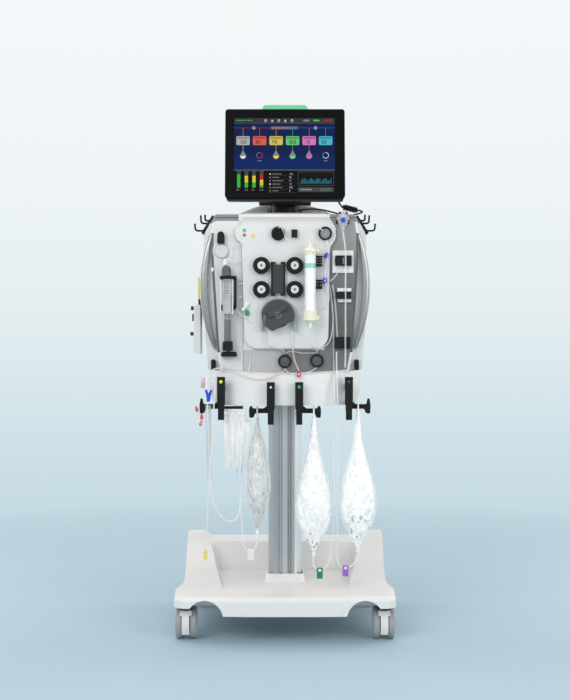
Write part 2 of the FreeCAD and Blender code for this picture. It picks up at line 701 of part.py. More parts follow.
def scale_rows():
    """Name, bar centre x, hook direction, bar top, rail centre z and hook centre z."""
    return [(1, -SCALE_OUTER_X, -1, SCALE_BAR_TOP_OUTER, RAIL_OUTER_Z, HOOK_OUTER_Z),
            (2, -SCALE_INNER_X, -1, SCALE_BAR_TOP_INNER, RAIL_INNER_Z, HOOK_INNER_Z),
            (3, SCALE_INNER_X, 1, SCALE_BAR_TOP_INNER, RAIL_INNER_Z, HOOK_INNER_Z),
            (4, SCALE_OUTER_X, 1, SCALE_BAR_TOP_OUTER, RAIL_OUTER_Z, HOOK_OUTER_Z)]


def scale_housing():
    block = outward(band_plan(0).extrude(V(0, 0, 150))).common(band_arc(0))
    block = block.common(prism_y(
        [(-BAND_HALF_WIDTH - 5, 830), (-BAND_HALF_WIDTH - 5, 760), (-214, BODY_BOTTOM, 26),
         (214, BODY_BOTTOM, 26), (BAND_HALF_WIDTH + 5, 760), (BAND_HALF_WIDTH + 5, 830)],
        BAND_FRONT_Y - 10, BODY_FRONT_Y + 10))
    hollow = outward(band_plan(BODY_WALL).extrude(V(0, 0, 150))).common(band_arc(-BODY_WALL))
    hollow = hollow.common(prism_y(
        [(-220, 830), (-220, 730, 20), (-206, BODY_BOTTOM + BODY_WALL, 22),
         (206, BODY_BOTTOM + BODY_WALL, 22), (220, 730, 20), (220, 830)],
        BAND_FRONT_Y - 10, BODY_FRONT_Y + 10))
    housing = block.cut(hollow)
    for number, x, way, top, rail_z, hook_z in scale_rows():
        half = RAIL_WIDTH / 2 + GAP
        tall = RAIL_HEIGHT / 2 + GAP
        housing = housing.cut(box(x - half, x + half, BAND_FRONT_Y - 5, BODY_FRONT_Y,
                                  rail_z - tall, rail_z + tall))
    return housing


def top_cover():
    low = BODY_TOP
    wire = Part.Wire([
        Part.Arc(V(-COVER_HALF_WIDTH, COVER_FRONT_Y, low + 9), V(0, COVER_FRONT_Y, COVER_PEAK),
                 V(COVER_HALF_WIDTH, COVER_FRONT_Y, low + 9)).toShape(),
        Part.LineSegment(V(COVER_HALF_WIDTH, COVER_FRONT_Y, low + 9),
                         V(COVER_HALF_WIDTH, COVER_FRONT_Y, low)).toShape(),
        Part.LineSegment(V(COVER_HALF_WIDTH, COVER_FRONT_Y, low),
                         V(-COVER_HALF_WIDTH, COVER_FRONT_Y, low)).toShape(),
        Part.LineSegment(V(-COVER_HALF_WIDTH, COVER_FRONT_Y, low),
                         V(-COVER_HALF_WIDTH, COVER_FRONT_Y, low + 9)).toShape()])
    dome = outward(Part.Face(wire).extrude(V(0, COVER_REAR_Y - COVER_FRONT_Y, 0)))

    def crest(e):
        return e.BoundBox.YLength < 0.01 and e.BoundBox.ZMax > low + 40
    dome = round_edges(dome, 8, crest)
    apron = prism_z([(-118, -118, 10), (118, -118, 10), (150, COVER_FRONT_Y + 2, 4),
                     (-150, COVER_FRONT_Y + 2, 4)], low, low + 7)
    cover = fuse(dome, apron)
    return cover.cut(cyl(0, 0, low - 1, 57, 100))


# Inside

def inner_chassis():
    floor_low = BODY_BOTTOM + BODY_WALL
    floor_top = floor_low + FLOOR_PLATE
    plate_y = BODY_FRONT_Y + 2
    parts = [box(-130, 130, -90, 110, floor_low, floor_top)]
    for side in (-1, 1):
        x0 = side * SPINE_X - SPINE_THICK / 2
        parts.append(box(x0, x0 + SPINE_THICK, plate_y, 100, SHELF_Z, MOTOR_PLATE_TOP))
        parts.append(box(x0, x0 + SPINE_THICK, -100, 100, floor_low, SHELF_Z))
    parts.append(box(-180, 180, plate_y, plate_y + MOTOR_PLATE_THICK,
                     MOTOR_PLATE_BOTTOM, MOTOR_PLATE_TOP))
    parts.append(box(-SPINE_X, SPINE_X, -60, 100, SHELF_Z, SHELF_Z + 5))
    parts.append(box(-SPINE_X, SPINE_X, -60, 100, MOTOR_PLATE_TOP - 6, MOTOR_PLATE_TOP))
    head = cyl(0, 0, MOTOR_PLATE_TOP - 1, 42, BODY_TOP - BODY_WALL - MOTOR_PLATE_TOP + 1)
    parts.append(head)
    beam_low = RAIL_INNER_Z - RAIL_HEIGHT / 2 - 8
    beam_top = RAIL_OUTER_Z + RAIL_HEIGHT / 2 + 8
    parts.append(box(-212, 212, GUIDE_FRONT_Y, GUIDE_REAR_Y, beam_low, beam_top))
    chassis = fuse(*parts)
    for number, x, way, top, rail_z, hook_z in scale_rows():
        half = RAIL_WIDTH / 2 + FIT
        tall = RAIL_HEIGHT / 2 + FIT
        chassis = chassis.cut(box(x - half, x + half, GUIDE_FRONT_Y - 5, RAIL_REAR_Y + 20,
                                  rail_z - tall, rail_z + tall))
    for x, z, r in pump_axes():
        chassis = chassis.cut(disc_y(x, z, SHAFT_R + 6, plate_y - 5, plate_y + 15))
    return chassis


def pump_motors():
    """Five motors in front of the motor plate, each with a bore for its pump's shaft."""
    motors = []
    for x, z, r in pump_axes():
        can = disc_y(x, z, r, MOTOR_FRONT_Y, BODY_FRONT_Y + 2)
        bore = disc_y(x, z, SHAFT_R + RUN, MOTOR_FRONT_Y - 1, BODY_FRONT_Y - 6)
        motors.append(can.cut(bore))
    return Part.makeCompound(motors)


def electronics():
    """Power supply on the shelf, battery on the floor plate and a control board."""
    shelf = SHELF_Z + 5
    supply = box(-78, 78, -40, 90, shelf, shelf + 95)
    vents = [box(-60, 60, -45, -30, shelf + 15 + 12 * i, shelf + 20 + 12 * i) for i in range(6)]
    supply = cut(supply, *vents)
    floor_top = BODY_BOTTOM + BODY_WALL + FLOOR_PLATE
    battery = box(96, 126, -50, 90, floor_top, floor_top + 70)
    board = box(-SPINE_X + SPINE_THICK / 2, -SPINE_X + SPINE_THICK / 2 + 2, -30, 90,
                shelf + 120, shelf + 320)
    chips = [box(-SPINE_X + 5, -SPINE_X + 9, y, y + 26, shelf + z, shelf + z + 26)
             for y, z in ((-15, 150), (35, 150), (-15, 220), (35, 250))]
    return Part.makeCompound([supply, battery, fuse(board, *chips)])


# Front fittings

def pump_raceways():
    """Four ring raceways, the horseshoe of the blood pump and the ribbed cassette clip."""
    y0 = PANEL_FACE
    parts = []
    for x, z, r in pump_axes()[1:]:
        ring = ring_y(x, z, FLUID_RING_R, FLUID_ROTOR_R + ROTOR_GAP, y0 - FLUID_RING_DEPTH, y0)
        for k in range(6):
            a = math.radians(60 * k + 30)
            mid = (FLUID_RING_R + FLUID_ROTOR_R) / 2 + 0.6
            hole = disc_y(x + mid * math.cos(a), z + mid * math.sin(a), 1.2,
                          y0 - FLUID_RING_DEPTH - 1, y0 - FLUID_RING_DEPTH + 2)
            ring = ring.cut(hole)
        parts.append(ring)
    low = BLOOD_PUMP_Z - BLOOD_RING_R + 8
    shoe = prism_y([(PUMP_CENTRE_X - BLOOD_RING_R, low, 4), (PUMP_CENTRE_X + BLOOD_RING_R, low, 4),
                    (PUMP_CENTRE_X + BLOOD_RING_R, BLOOD_PUMP_Z + BLOOD_RING_R, BLOOD_RING_R - 0.1),
                    (PUMP_CENTRE_X - BLOOD_RING_R, BLOOD_PUMP_Z + BLOOD_RING_R, BLOOD_RING_R - 0.1)],
                   y0 - BLOOD_RING_DEPTH, y0)
    space = fuse(disc_y(PUMP_CENTRE_X, BLOOD_PUMP_Z, BLOOD_ROTOR_R + ROTOR_GAP,
                        y0 - BLOOD_RING_DEPTH - 1, y0),
                 box(PUMP_CENTRE_X - BLOOD_ROTOR_R + GAP, PUMP_CENTRE_X + BLOOD_ROTOR_R - GAP,
                     y0 - BLOOD_RING_DEPTH - 1, y0, low - 5, BLOOD_PUMP_Z))
    parts.append(shoe.cut(space))
    clip_low = FLUID_PUMP_LOW_Z - 10
    clip_high = FLUID_PUMP_TOP_Z + 3
    half = FLUID_PUMP_PITCH_X / 2 - FLUID_RING_R - 3.5
    x = PUMP_CENTRE_X
    body = box(x - half, x + half, y0 - 12, y0, clip_low, clip_high)
    ribs = [box(x - half + 3, x + half - 3, y0 - 14, y0 - 10, clip_low + 6 + 8 * i, clip_low + 9 + 8 * i)
            for i in range(9)]
    lugs = []
    for side in (-1, 1):
        for z in (clip_low - 4, clip_high):
            lug = box(x + side * 14.5 - 7, x + side * 14.5 + 7, y0 - 15, y0, z - 4, z + 8)
            lugs.append(round_edges(lug, 2, lambda e: lies_on(e, "y", y0 - 15)))
    parts.append(fuse(body, *(ribs + lugs)))
    return Part.makeCompound(parts)


def fluid_pump_rotor(x, z):
    """Rotor with three roller lobes, a silver hub disc and its shaft."""
    y0 = PANEL_FACE
    front = y0 - FLUID_RING_DEPTH + 1
    body = disc_y(x, z, FLUID_ROTOR_R, front, y0 - 1)
    hub = disc_y(x, z, 12.2, front - 4, front)
    hub = round_edges(hub, 1.5, lambda e: lies_on(e, "y", front - 4))
    slot = box(x - 1.6, x + 1.6, front - 5, front - 2.4, z - 9, z + 9)
    cross = box(x - 9, x + 9, front - 5, front - 2.4, z - 1.6, z + 1.6)
    shaft = disc_y(x, z, SHAFT_R, y0 - 2, MOTOR_FRONT_Y + 22)
    return fuse(cut(fuse(body, hub), slot, cross), shaft)


def blood_pump_rotor():
    x, z = PUMP_CENTRE_X, BLOOD_PUMP_Z
    y0 = PANEL_FACE
    front = y0 - BLOOD_RING_DEPTH
    drum = disc_y(x, z, 0.75 * BLOOD_ROTOR_R, front + 1, y0 - 1)
    rollers = []
    for angle in (35, 215):
        a = math.radians(angle)
        reach = BLOOD_ROTOR_R - ROLLER_R - GAP
        rollers.append(disc_y(x + reach * math.cos(a), z + reach * math.sin(a), ROLLER_R,
                              front + 1, y0 - 2))
    plate = disc_y(x, z, BLOOD_ROTOR_R, front - 12, front + 1)
    r = BLOOD_ROTOR_R
    chord = box(-1.25 * r, 1.25 * r, front - 14, front + 2, -1.25 * r, -0.69 * r)
    chord.rotate(V(0, 0, 0), V(0, 1, 0), -28)
    chord.translate(V(x, 0, z))
    notch = box(-1.25 * r, -0.71 * r, front - 14, front + 2, -0.83 * r, -0.04 * r)
    notch.rotate(V(0, 0, 0), V(0, 1, 0), 12)
    notch.translate(V(x, 0, z))
    plate = cut(plate, chord, notch)
    plate = round_edges(plate, 3, lambda e: lies_on(e, "y", front - 12))
    grip = prism_y([(-0.62 * r, -8, 7), (0.7 * r, -8, 7), (0.7 * r, 10, 8), (-0.62 * r, 10, 8)],
                   front - 20, front - 10)
    grip.rotate(V(0, 0, 0), V(0, 1, 0), -28)
    grip.translate(V(x - 3, 0, z + r / 4))
    grip = round_edges(grip, 2.5, lambda e: lies_on(e, "y", front - 20))
    screw = disc_y(x + 1, z - 9, 4, front - 14, front - 11)
    shaft = disc_y(x, z, SHAFT_R, y0 - 2, MOTOR_FRONT_Y + 22)
    return fuse(drum, plate, grip, screw, shaft, *rollers)


def pod(x, z, face, r):
    base = disc_y(x, z, r, face - 12, face)
    base = round_edges(base, 2, lambda e: lies_on(e, "y", face - 12))
    base = base.cut(disc_y(x, z, r - 5, face - 13, face - 7))
    dome = Part.makeSphere(26, V(x, face + 17, z))
    dome = dome.common(disc_y(x, z, r - 5.2, face - 12, face - 7))
    return fuse(base, dome)


def pressure_pods():
    pods = [pod(120, 1202.5, PANEL_FACE, POD_R), pod(-0.5, 821, SIDE_FACE, POD_R),
            pod(95.5, 823, SIDE_FACE, POD_R)]
    x, z = PUMP_CENTRE_X, 1202.0
    knob = disc_y(x, z, 20.6, PANEL_FACE - 14, PANEL_FACE)
    knob = round_edges(knob, 2, lambda e: lies_on(e, "y", PANEL_FACE - 14))
    for offset in (-9, -3, 3, 9):
        groove = box(offset - 1.2, offset + 1.2, PANEL_FACE - 16, PANEL_FACE - 9, -26, 26)
        groove.rotate(V(0, 0, 0), V(0, 1, 0), 40)
        groove.translate(V(x, 0, z))
        knob = knob.cut(groove)
    return Part.makeCompound(pods + [knob])


def holder_block(x0, x1, z0, z1, face, depth):
    block = box(x0, x1, face - depth, face, z0, z1)
    return round_edges(block, 1.5, lambda e: lies_on(e, "y", face - depth))


def sensor_blocks():
    """Holders and sensors of the front, in black and white plastic."""
    f = PANEL_FACE
    s = SIDE_FACE
    parts = [holder_block(19.5, 37, 1190, 1214, f, 12)]
    for z0, z1 in FILTER_GRIP_Z:
        arm = box(62, 111, f - 20, f, z0, z1)
        arm = arm.cut(box(60, 90.5, f - 22, f - 6, z0 - 1, z1 + 1))
        arm = arm.cut(box(98, 104, f - 22, f - 12, z0 - 1, z1 + 1))
        saddle = box(66, 95, FILTER_Y + 9, f - 5, z0 + 4, z1 - 4)
        saddle = saddle.cut(cyl(FILTER_X, FILTER_Y, z0, FILTER_R + FIT, z1 - z0))
        parts.append(fuse(arm, saddle))
    plate = holder_block(142, 205, 1085.5, 1152.5, s, 9)
    clamp = fuse(holder_block(150, 199, 1106.5, 1137, s - 9, 13),
                 Part.makeCone(15.2, 9, 10, V(159, s - 22, 1121.7), V(-1, 0, 0)).common(
                     box(140, 160, s - 22, s - 9, 1100, 1140)))
    way = box(CHAMBER_LINE_X - 4, CHAMBER_LINE_X + 4, s - 32, s - 15, 1080, 1160)
    parts.append(fuse(plate, clamp).cut(way))
    bars = [holder_block(156, 198, 1030, 1040, s, 12), holder_block(158, 198, 998, 1006.5, s, 12)]
    air = holder_block(153, 197.5, 1006.5, 1030, s, 22)
    way = box(CHAMBER_LINE_X - 4, CHAMBER_LINE_X + 4, s - 32, s - 10, 990, 1050)
    parts.append(fuse(air, *bars).cut(way))
    lower = holder_block(150, 196, 859.5, 894, s, 16)
    way = box(CHAMBER_LINE_X - 4, CHAMBER_LINE_X + 4, s - 32, s - 8, 850, 900)
    parts.append(lower.cut(way))
    post = disc_y(CHAMBER_X, 1239, 8, s - 14, s)
    fork = box(CHAMBER_X - 20, CHAMBER_X + 20, s - 14, s - 8, 1232, 1246)
    parts.append(fuse(post, fork).cut(chamber_cone(FIT)))
    post = prism_y([(-203, 1173, 4), (-180, 1173, 4), (-182, 1209, 10), (-201, 1209, 10)], s - 18, s)
    parts.append(post)
    boss = disc_y(-190, 1150, 20, s - 12, s)
    parts.append(round_edges(boss, 3, lambda e: lies_on(e, "y", s - 12)))
    return Part.makeCompound(parts)


def filter_body():
    tube_body = cyl(FILTER_X, FILTER_Y, FILTER_LOW, FILTER_R, FILTER_HIGH - FILTER_LOW)
    return tube_body


def filter_headers():
    """Moulded end headers with ribs, side ports and the blood ports."""
    parts = []
    for z, way in ((FILTER_HIGH, 1), (FILTER_LOW, -1)):
        tall = UPPER_HEADER if way > 0 else LOWER_HEADER
        start = V(FILTER_X, FILTER_Y, z)
        axis = V(0, 0, way)
        cap = Part.makeCylinder(19, tall - 8, start, axis)
        flange = Part.makeCylinder(22.5, 9, start + axis * (tall - 16), axis)
        cone = Part.makeCone(19, 8, 8, start + axis * (tall - 8), axis)
        port = Part.makeCylinder(5, PORT_LENGTH, start + axis * (tall - 2), axis)
        side = Part.makeCylinder(5.5, 26, start + axis * (tall - 14), V(1, 0, 0))
        collar = Part.makeCylinder(7.5, 6, start + axis * (tall - 14) + V(20, 0, 0), V(1, 0, 0))
        ribs = []
        for k in range(8):
            a = math.radians(45 * k + 22.5)
            rib = box(-1.2, 1.2, 18, 20.6, -(tall - 8) / 2, (tall - 8) / 2)
            rib.rotate(V(0, 0, 0), V(0, 0, 1), math.degrees(a))
            rib.translate(start + axis * ((tall - 8) / 2))
            ribs.append(rib)
        parts.append(fuse(cap, flange, cone, port, side, collar, *ribs))
    return Part.makeCompound(parts)


def syringe_holder():
    """Bracket with a bore for the barrel, its leg, the end stop and the carriage base."""
    s = SIDE_FACE
    x = SYRINGE_X
    bracket = box(x - 23, x + 25, SYRINGE_Y - 6, s, SYRINGE_HIGH, SYRINGE_HIGH + 10)
    leg = box(x + 20, x + 26, SYRINGE_Y + 4, s, 979, SYRINGE_HIGH + 10)
    dome = cyl(x - 4, SYRINGE_Y, SYRINGE_HIGH + 10, 14, 18)
    cap = Part.makeSphere(14, V(x - 4, SYRINGE_Y, SYRINGE_HIGH + 28))
    cradle = box(x - 22, x + 20, SYRINGE_Y + SYRINGE_R + FIT, s, 975, 990)
    top = fuse(bracket, leg, dome, cap, cradle)
    rail = box(x - 6, x + 6, s - 5, s, 836, 975)
    foot = prism_y([(x - 22, 835, 4), (x + 28, 835, 4), (x + 24, 850, 4), (x - 18, 850, 4)], s - 22, s)
    return fuse(top, rail, foot)


def syringe_barrel():
    """Clear barrel with its finger flange at the low end and a nozzle at the top."""
    x, y = SYRINGE_X, SYRINGE_Y
    tall = SYRINGE_HIGH - SYRINGE_LOW
    barrel = cyl(x, y, SYRINGE_LOW, SYRINGE_R, tall - FIT)
    flange = box(x - 22, x + 17, y - 9, y + 9, SYRINGE_LOW - 3, SYRINGE_LOW)
    barrel = fuse(barrel, round_edges(flange, 5, lambda e: e.BoundBox.ZLength > 2))
    bore = cyl(x, y, SYRINGE_LOW - 4, SYRINGE_R - SYRINGE_WALL, tall - 6)
    return barrel.cut(bore)


def syringe_pusher():
    """Plunger, its rod and the clamp that pushes it, sliding on the holder's rail."""
    x, y = SYRINGE_X, SYRINGE_Y
    seal = cyl(x, y, PLUNGER_Z, SYRINGE_R - SYRINGE_WALL - FIT, 11)
    rib = box(x - 10.5, x + 10.5, y - 1.6, y + 1.6, 881, PLUNGER_Z)
    cross = box(x - 1.6, x + 1.6, y - 10.5, y + 10.5, 881, PLUNGER_Z)
    thumb = cyl(x, y, 876, 15, 5)
    clamp = box(x - 15, x + 15, y - 14, SIDE_FACE - 6, PUSHER_FOOT + 2, 876)
    clamp = round_edges(clamp, 4, lambda e: e.BoundBox.ZLength > 20)
    return fuse(seal, rib, cross, thumb, clamp)


def chamber_cone(grow):
    """The chamber's tapered body, grown by a clearance for the clip that holds it."""
    return Part.makeCone(10 + grow, 20 + grow, 26, V(CHAMBER_X, CHAMBER_Y, 1222))


def drip_chamber():
    """Clear chamber with a conical top, its blue cap and the outlet below."""
    x, y = CHAMBER_X, CHAMBER_Y
    body = chamber_cone(0)
    top = Part.makeCone(20, 8, 12, V(x, y, 1248))
    cap = cyl(x + 2, y, 1260, 8, 8)
    outlet = cyl(x, y, 1212, 5, 11)
    return fuse(body, top, cap, outlet)


def line_hooks():
    """Black wire hooks on the upper shoulders and two short pegs below."""
    def hook(side):
        y = -36.0
        x = BODY_HALF_WIDTH
        z = BODY_TOP
        strip = prism_y([(x - 42, z, 3), (x - 23, z + 10, 3), (x + 12, z - 46, 3), (x - 7, z - 58, 3)],
                        y, y + 16)
        wires = [[(x - 14, z - 14), (x - 1, z - 16), (x + 12, z - 14), (x + 13.5, z + 10)],
                 [(x - 19, z - 4), (x - 10, z - 7.5), (x - 0.5, z - 6), (x, z + 12)],
                 [(x, z - 37), (x + 16, z - 39), (x + 30, z - 37), (x + 32, z - 16)]]
        wires = [[(px, y + 8, pz) for px, pz in wire] for wire in wires]
        shape = fuse(strip, *[tube(w, 6) for w in wires])
        shape = shape.cut(prism_y(BODY_OUTLINE, BODY_FRONT_Y, BODY_REAR_Y))
        peg_x = BAND_HALF_WIDTH - 15
        low = BAND_TOP_SIDE - 2
        seat = BODY_FRONT_Y - FLANGE_THICK
        peg = fuse(disc_y(peg_x, low, PEG_R, BAND_SIDE_Y - 2, seat),
                   disc_y(peg_x, low + 22, PEG_R, BAND_SIDE_Y - 2, seat),
                   box(peg_x - PEG_R, peg_x + PEG_R, BAND_SIDE_Y - 2, seat, low, low + 22))
        peg = peg.cut(band_arc(0))
        if side < 0:
            return [mirror_x(shape), mirror_x(peg)]
        return [shape, peg]
    return Part.makeCompound(hook(-1) + hook(1))


def blood_warmer():
    """White warmer on the left side with black latches, and a yellow cover strip above."""
    seat = -WARMER_SEAT_X
    body = prism_y([(-281, 850, 10), (seat, 840, 4), (seat, 994, 6), (-277, 994, 12)], -106, -16)
    latches = [box(-290, -272, -80, -60, 978, 990), box(-286, -272, -80, -60, 944, 966),
               box(-294, -272, -50, -38, 900, 911), box(-284, -272, -50, -38, 876, 900)]
    strip = box(-268, seat + 4, -80, -50, 1012, 1079)
    link = box(-268, seat, -70, -60, 990, 1014)
    warmer = fuse(body, link, strip, *latches)
    shell_space = mirror_x(prism_x([(SHELL_FRONT_Y - 1, 850), (SHELL_REAR_Y + 1, 850),
                                    (SHELL_REAR_Y + 1, 1215), (SHELL_FRONT_Y - 1, 1215)],
                                   WARMER_SEAT_X, 150))
    return warmer.cut(shell_space)


# Lines held by the front

FRONT_ROUTES = {
    "pump_left_leg": [(-62, -199, 914), (-62.5, -199, 888), (-55, -198, 868), (-34, -197, 862),
                      (-10, -197, 859), (-2, -192, 851), (-1, -184.5, 844.4)],
    "pump_right_leg": [(21, -199, 914), (21.5, -198, 885), (24, -197, 850), (29, -196, 820),
                       (37, -200, 804), (41, -208, 793.5)],
    "filter_outlet": [(FILTER_X, FILTER_Y, 919), (FILTER_X, -221, 890), (77, -214, 868),
                      (89, -200, 858), (95, -185, 848)],
    "filter_inlet": [(FILTER_X, FILTER_Y, 1177), (FILTER_X, -221, 1200), (84, -215, 1219),
                     (104, -208, 1219), (112, -204.5, 1209)],
    "return_line": [(CHAMBER_X, CHAMBER_Y, 1211), (CHAMBER_X + 2, -202, 1192),
                    (CHAMBER_LINE_X, -199, 1160), (CHAMBER_LINE_X + 1, -197, 1110),
                    (CHAMBER_LINE_X, -196, 1060), (CHAMBER_LINE_X + 1, -194, 1010),
                    (CHAMBER_LINE_X, -192, 960), (CHAMBER_LINE_X + 1, -191, 915),
                    (CHAMBER_LINE_X, -189, 870), (CHAMBER_LINE_X + 1, -188, 830),
                    (CHAMBER_LINE_X - 1, -187, 802)],
    "supply_line": [(135, -179, 1040), (140, -180, 1010), (144, -180, 965), (145, -181, 915),
                    (144.5, -181, 865), (146, -182, 825), (146, -186, 800), (146, -190, 788)],
    "heater_line": [(142, -188, 1050), (149, -187.5, 1010), (153, -187, 960), (155, -187.5, 915),
                    (156, -188, 904), (156, -188, 894.1)],
    "access_lead": [(-0.5, -184, 800.6), (-0.5, -184, 795), (-7, -194, 790), (-18, -205, 788),
                    (-31, -210.5, 779), (-45, -210, 771), (-70, -207, 767.5), (-98, -202, 769),
                    (-130, -194, 780), (-160, -186, 794), (-184, -182, 802)],
}


def tubing_set():
    return Part.makeCompound([tube(points, LINE_D) for points in FRONT_ROUTES.values()])


def pinch_clamp(x, y, z, turn):
    """A small pinch clamp, pierced for its line."""
    body = prism_y([(-5, -8, 2), (5, -8, 2), (6.5, 2, 2), (3, 9, 2), (-3, 9, 2), (-6.5, 2, 2)],
                   -4.5, 4.5)
    body.rotate(V(0, 0, 0), V(0, 1, 0), turn)
    body.translate(V(x, y, z))
    return body


def line_clamps():
    """Coloured pinch clamps on the front lines."""
    face = PANEL_FACE - 4.5
    clamps = [pinch_clamp(123.7, face, 1137, 45), pinch_clamp(119.5, face, 1062, 0),
              pinch_clamp(-116, face, 990, 20), pinch_clamp(41, BAND_FRONT_Y - 4, 783, 0)]
    return Part.makeCompound(clamps)


# Scales and bags

def scale_arm(number, x, way, top, rail_z, hook_z):
    """Front bar, its rail in the scale guides and the arm that carries a bag's loop."""
    outer = abs(x) == SCALE_OUTER_X
    front = BAR_FRONT_OUTER if outer else BAR_FRONT_INNER
    half = SCALE_BAR_WIDTH / 2
    rear = front + SCALE_BAR_DEPTH
    bar = box(x - half, x + half, front, rear, hook_z + 4, top)
    bar = round_edges(bar, 5, lambda e: lies_on(e, "y", front) and e.BoundBox.ZLength > 30)
    high = hook_z + HOOK_HALF
    low = hook_z - HOOK_HALF
    seat = hook_z + HOOK_SEAT
    near = HOOK_Y + HOOK_DEPTH / 2
    tail = prism_x([(front + 1, hook_z - TAIL_DROP, 5), (rear - 1, hook_z - TAIL_DROP, 5),
                    (rear + 3, low - 9, 4), (near, low - 1, 3), (near, high + 0.5, 2),
                    (rear, high + 0.5, 0), (rear, high + 9, 0), (front + 1, high + 9, 0)],
                   x - half + 3, x + half - 3)
    rail = box(x - RAIL_WIDTH / 2, x + RAIL_WIDTH / 2, rear - 2, RAIL_REAR_Y,
               rail_z - RAIL_HEIGHT / 2, rail_z + RAIL_HEIGHT / 2)
    prong = high + (9 if outer else -1)
    profile = [(0, low, 0), (HOOK_REACH - 15, low, 6), (HOOK_REACH - 10, low - 13, 5),
               (HOOK_REACH + 3, low - 15, 5), (HOOK_REACH + 4, hook_z, 20), (HOOK_REACH + 1, prong, 3),
               (HOOK_REACH - 5, prong, 3), (HOOK_REACH - 8, seat, 4), (22, seat, 4), (12.5, high, 3),
               (0, high, 0)]
    arm = prism_y([(x + way * u, z, r) for u, z, r in profile], HOOK_Y - HOOK_DEPTH / 2, near)
    pieces = [bar, tail, rail, arm]
    if number == 1:
        pieces.append(box(x, x + CLIP_REACH, HOOK_Y - 5, HOOK_Y + 5, low, low + 8))
    return fuse(*pieces)


def loft_bag(x, y, sections):
    """A bag through ellipses (z, half width, half depth), pointed at its lower end."""
    wires = []
    for z, a, b in sections:
        curve = Part.Ellipse(V(x, y + b, z), V(x + a, y, z), V(x, y, z))
        wires.append(Part.Wire(curve.toShape()))
    return Part.makeLoft(wires, True, True)


def line_tag(x, y, bore_z, line):
    """A flat pinch clamp that hangs on a line, which passes through its upper end."""
    tag = box(x - 9, x + 9, y - 5, y + 5, bore_z - 26, bore_z + 7)
    tag = round_edges(tag, 3, lambda e: e.BoundBox.YLength > 9)
    return tag.cut(tube(line, BAG_LINE_D + 2 * FIT))


def solution_bag(size, hook_z, tag_place, line):
    """A full bag: neck, belly, outlet and the loop that hangs on its hook."""
    x, top, low, half, spout_end = size
    fall = top - low
    sections = [(top, 4, 26), (top - 0.05 * fall, 0.2 * half, 38), (top - 0.14 * fall, 0.46 * half, 58),
                (top - 0.28 * fall, 0.70 * half, 76), (top - 0.46 * fall, 0.90 * half, 87),
                (top - 0.64 * fall, half, 90), (top - 0.77 * fall, 0.82 * half, 76),
                (top - 0.89 * fall, 0.5 * half, 48), (low + 4, 8, 13), (low, 5, 7)]
    bag = loft_bag(x, BAG_Y, sections)
    tab = box(x - 1.5, x + 1.5, BAG_Y - 24, BAG_Y + 24, top - 6, hook_z + 10)
    half_hole = HOOK_DEPTH / 2 + GAP
    hole = box(x - 3, x + 3, HOOK_Y - half_hole, HOOK_Y + half_hole,
               hook_z - 14, hook_z + HOOK_SEAT + FIT)
    spout = cyl(x, BAG_Y, spout_end, 4.5, low - spout_end + 3)
    body = fuse(bag, tab, spout).cut(hole)
    return Part.makeCompound([body, line_tag(*tag_place, line)])


def effluent_bag():
    """The folded collecting bag behind the scale housing, with its neck and top clip."""
    left = SHEET_LEFT_X
    right = SHEET_RIGHT_X
    y = HOOK_Y
    top = HOOK_OUTER_Z - HOOK_HALF - FIT
    count = 7
    pleats = [(left + (right - left) * i / count, y - 9 - 7 * (i % 2), 3) for i in range(count)]
    back = [(px, py + 24, 3) for px, py, pr in reversed(pleats)]
    end = [(right, y - 9, 3), (right, y + 15, 3)]
    sheet = prism_z(pleats + end + back, SHEET_LOW, SHEET_TOP)
    cut_away = prism_y([(right + 1, SHEET_LOW - 1), (right + 1, SHEET_TOP - 30),
                        (right - 15, SHEET_LOW - 1)], y - 40, y + 40)
    sheet = sheet.cut(cut_away)
    arm_end = CLIP_REACH - SCALE_OUTER_X
    neck = box(left + 10, arm_end - 4, y - 6, y + 6, SHEET_TOP - 2, top - 8)
    clip = box(left + 7, arm_end - 1, y - 8, y + 8, top - 8, top)
    return fuse(sheet, neck, clip)


# Free lines and the monitor lead

ACCESS_LINE = [(-185, -182, 802), (-206, -184, 801), (-226, -189, 790), (-234, -197, 768),
               (-232, -205, 735), (-230, -210, 695), (-229, -212, 650), (-227, -211, 600),
               (-225, -209, 550), (-225, -207, 500), (-227, -206, 450), (-229, -204, 400),
               (-231, -203, 350), (-234, -202, 300), (-237, -202, 258)]

LOOP_LINE = [(-209, -196, 792), (-207.5, -206, 765), (-208.5, -214, 732), (-210.5, -219, 692),
             (-213, -220.5, 650), (-215, -220, 602), (-218, -219, 550), (-222, -217.5, 495),
             (-222, -217, 445), (-212, -216, 398), (-192, -214, 360), (-166, -213, 343),
             (-144, -210, 352), (-133, -202, 383), (-130, -187, 425), (-129, -166, 468),
             (-131, -150, 515), (-131, -143, 570), (-130, -141, 630), (-131, -142, 690)]

LINE_2 = [(-82.7, -178, 301.8), (-83, -178, 290), (-84, -178, 276), (-88, -178, 263), (-96, -178, 254),
          (-108, -178, 251), (-118, -178.5, 256), (-123.5, -179, 268), (-126, -180, 288),
          (-129, -179, 325), (-132, -174, 370), (-137, -166, 415), (-142, -156, 462),
          (-146, -149, 515), (-147, -146, 575), (-146, -145, 635), (-147, -146, 690)]

LINE_3 = [(86, -178, 237.6), (84.5, -178, 226), (84.5, -178, 213), (89.5, -178, 202), (99, -178, 196),
          (111, -178, 196.5), (122, -178.5, 203), (130, -180, 216), (135, -184, 238),
          (140, -190, 275), (145, -198, 330), (147.5, -205, 390), (147, -208, 450),
          (145.5, -211, 510), (145.5, -213, 570), (145, -216, 630), (146, -217, 690),
          (146.5, -211, 742), (146, -190, 786)]

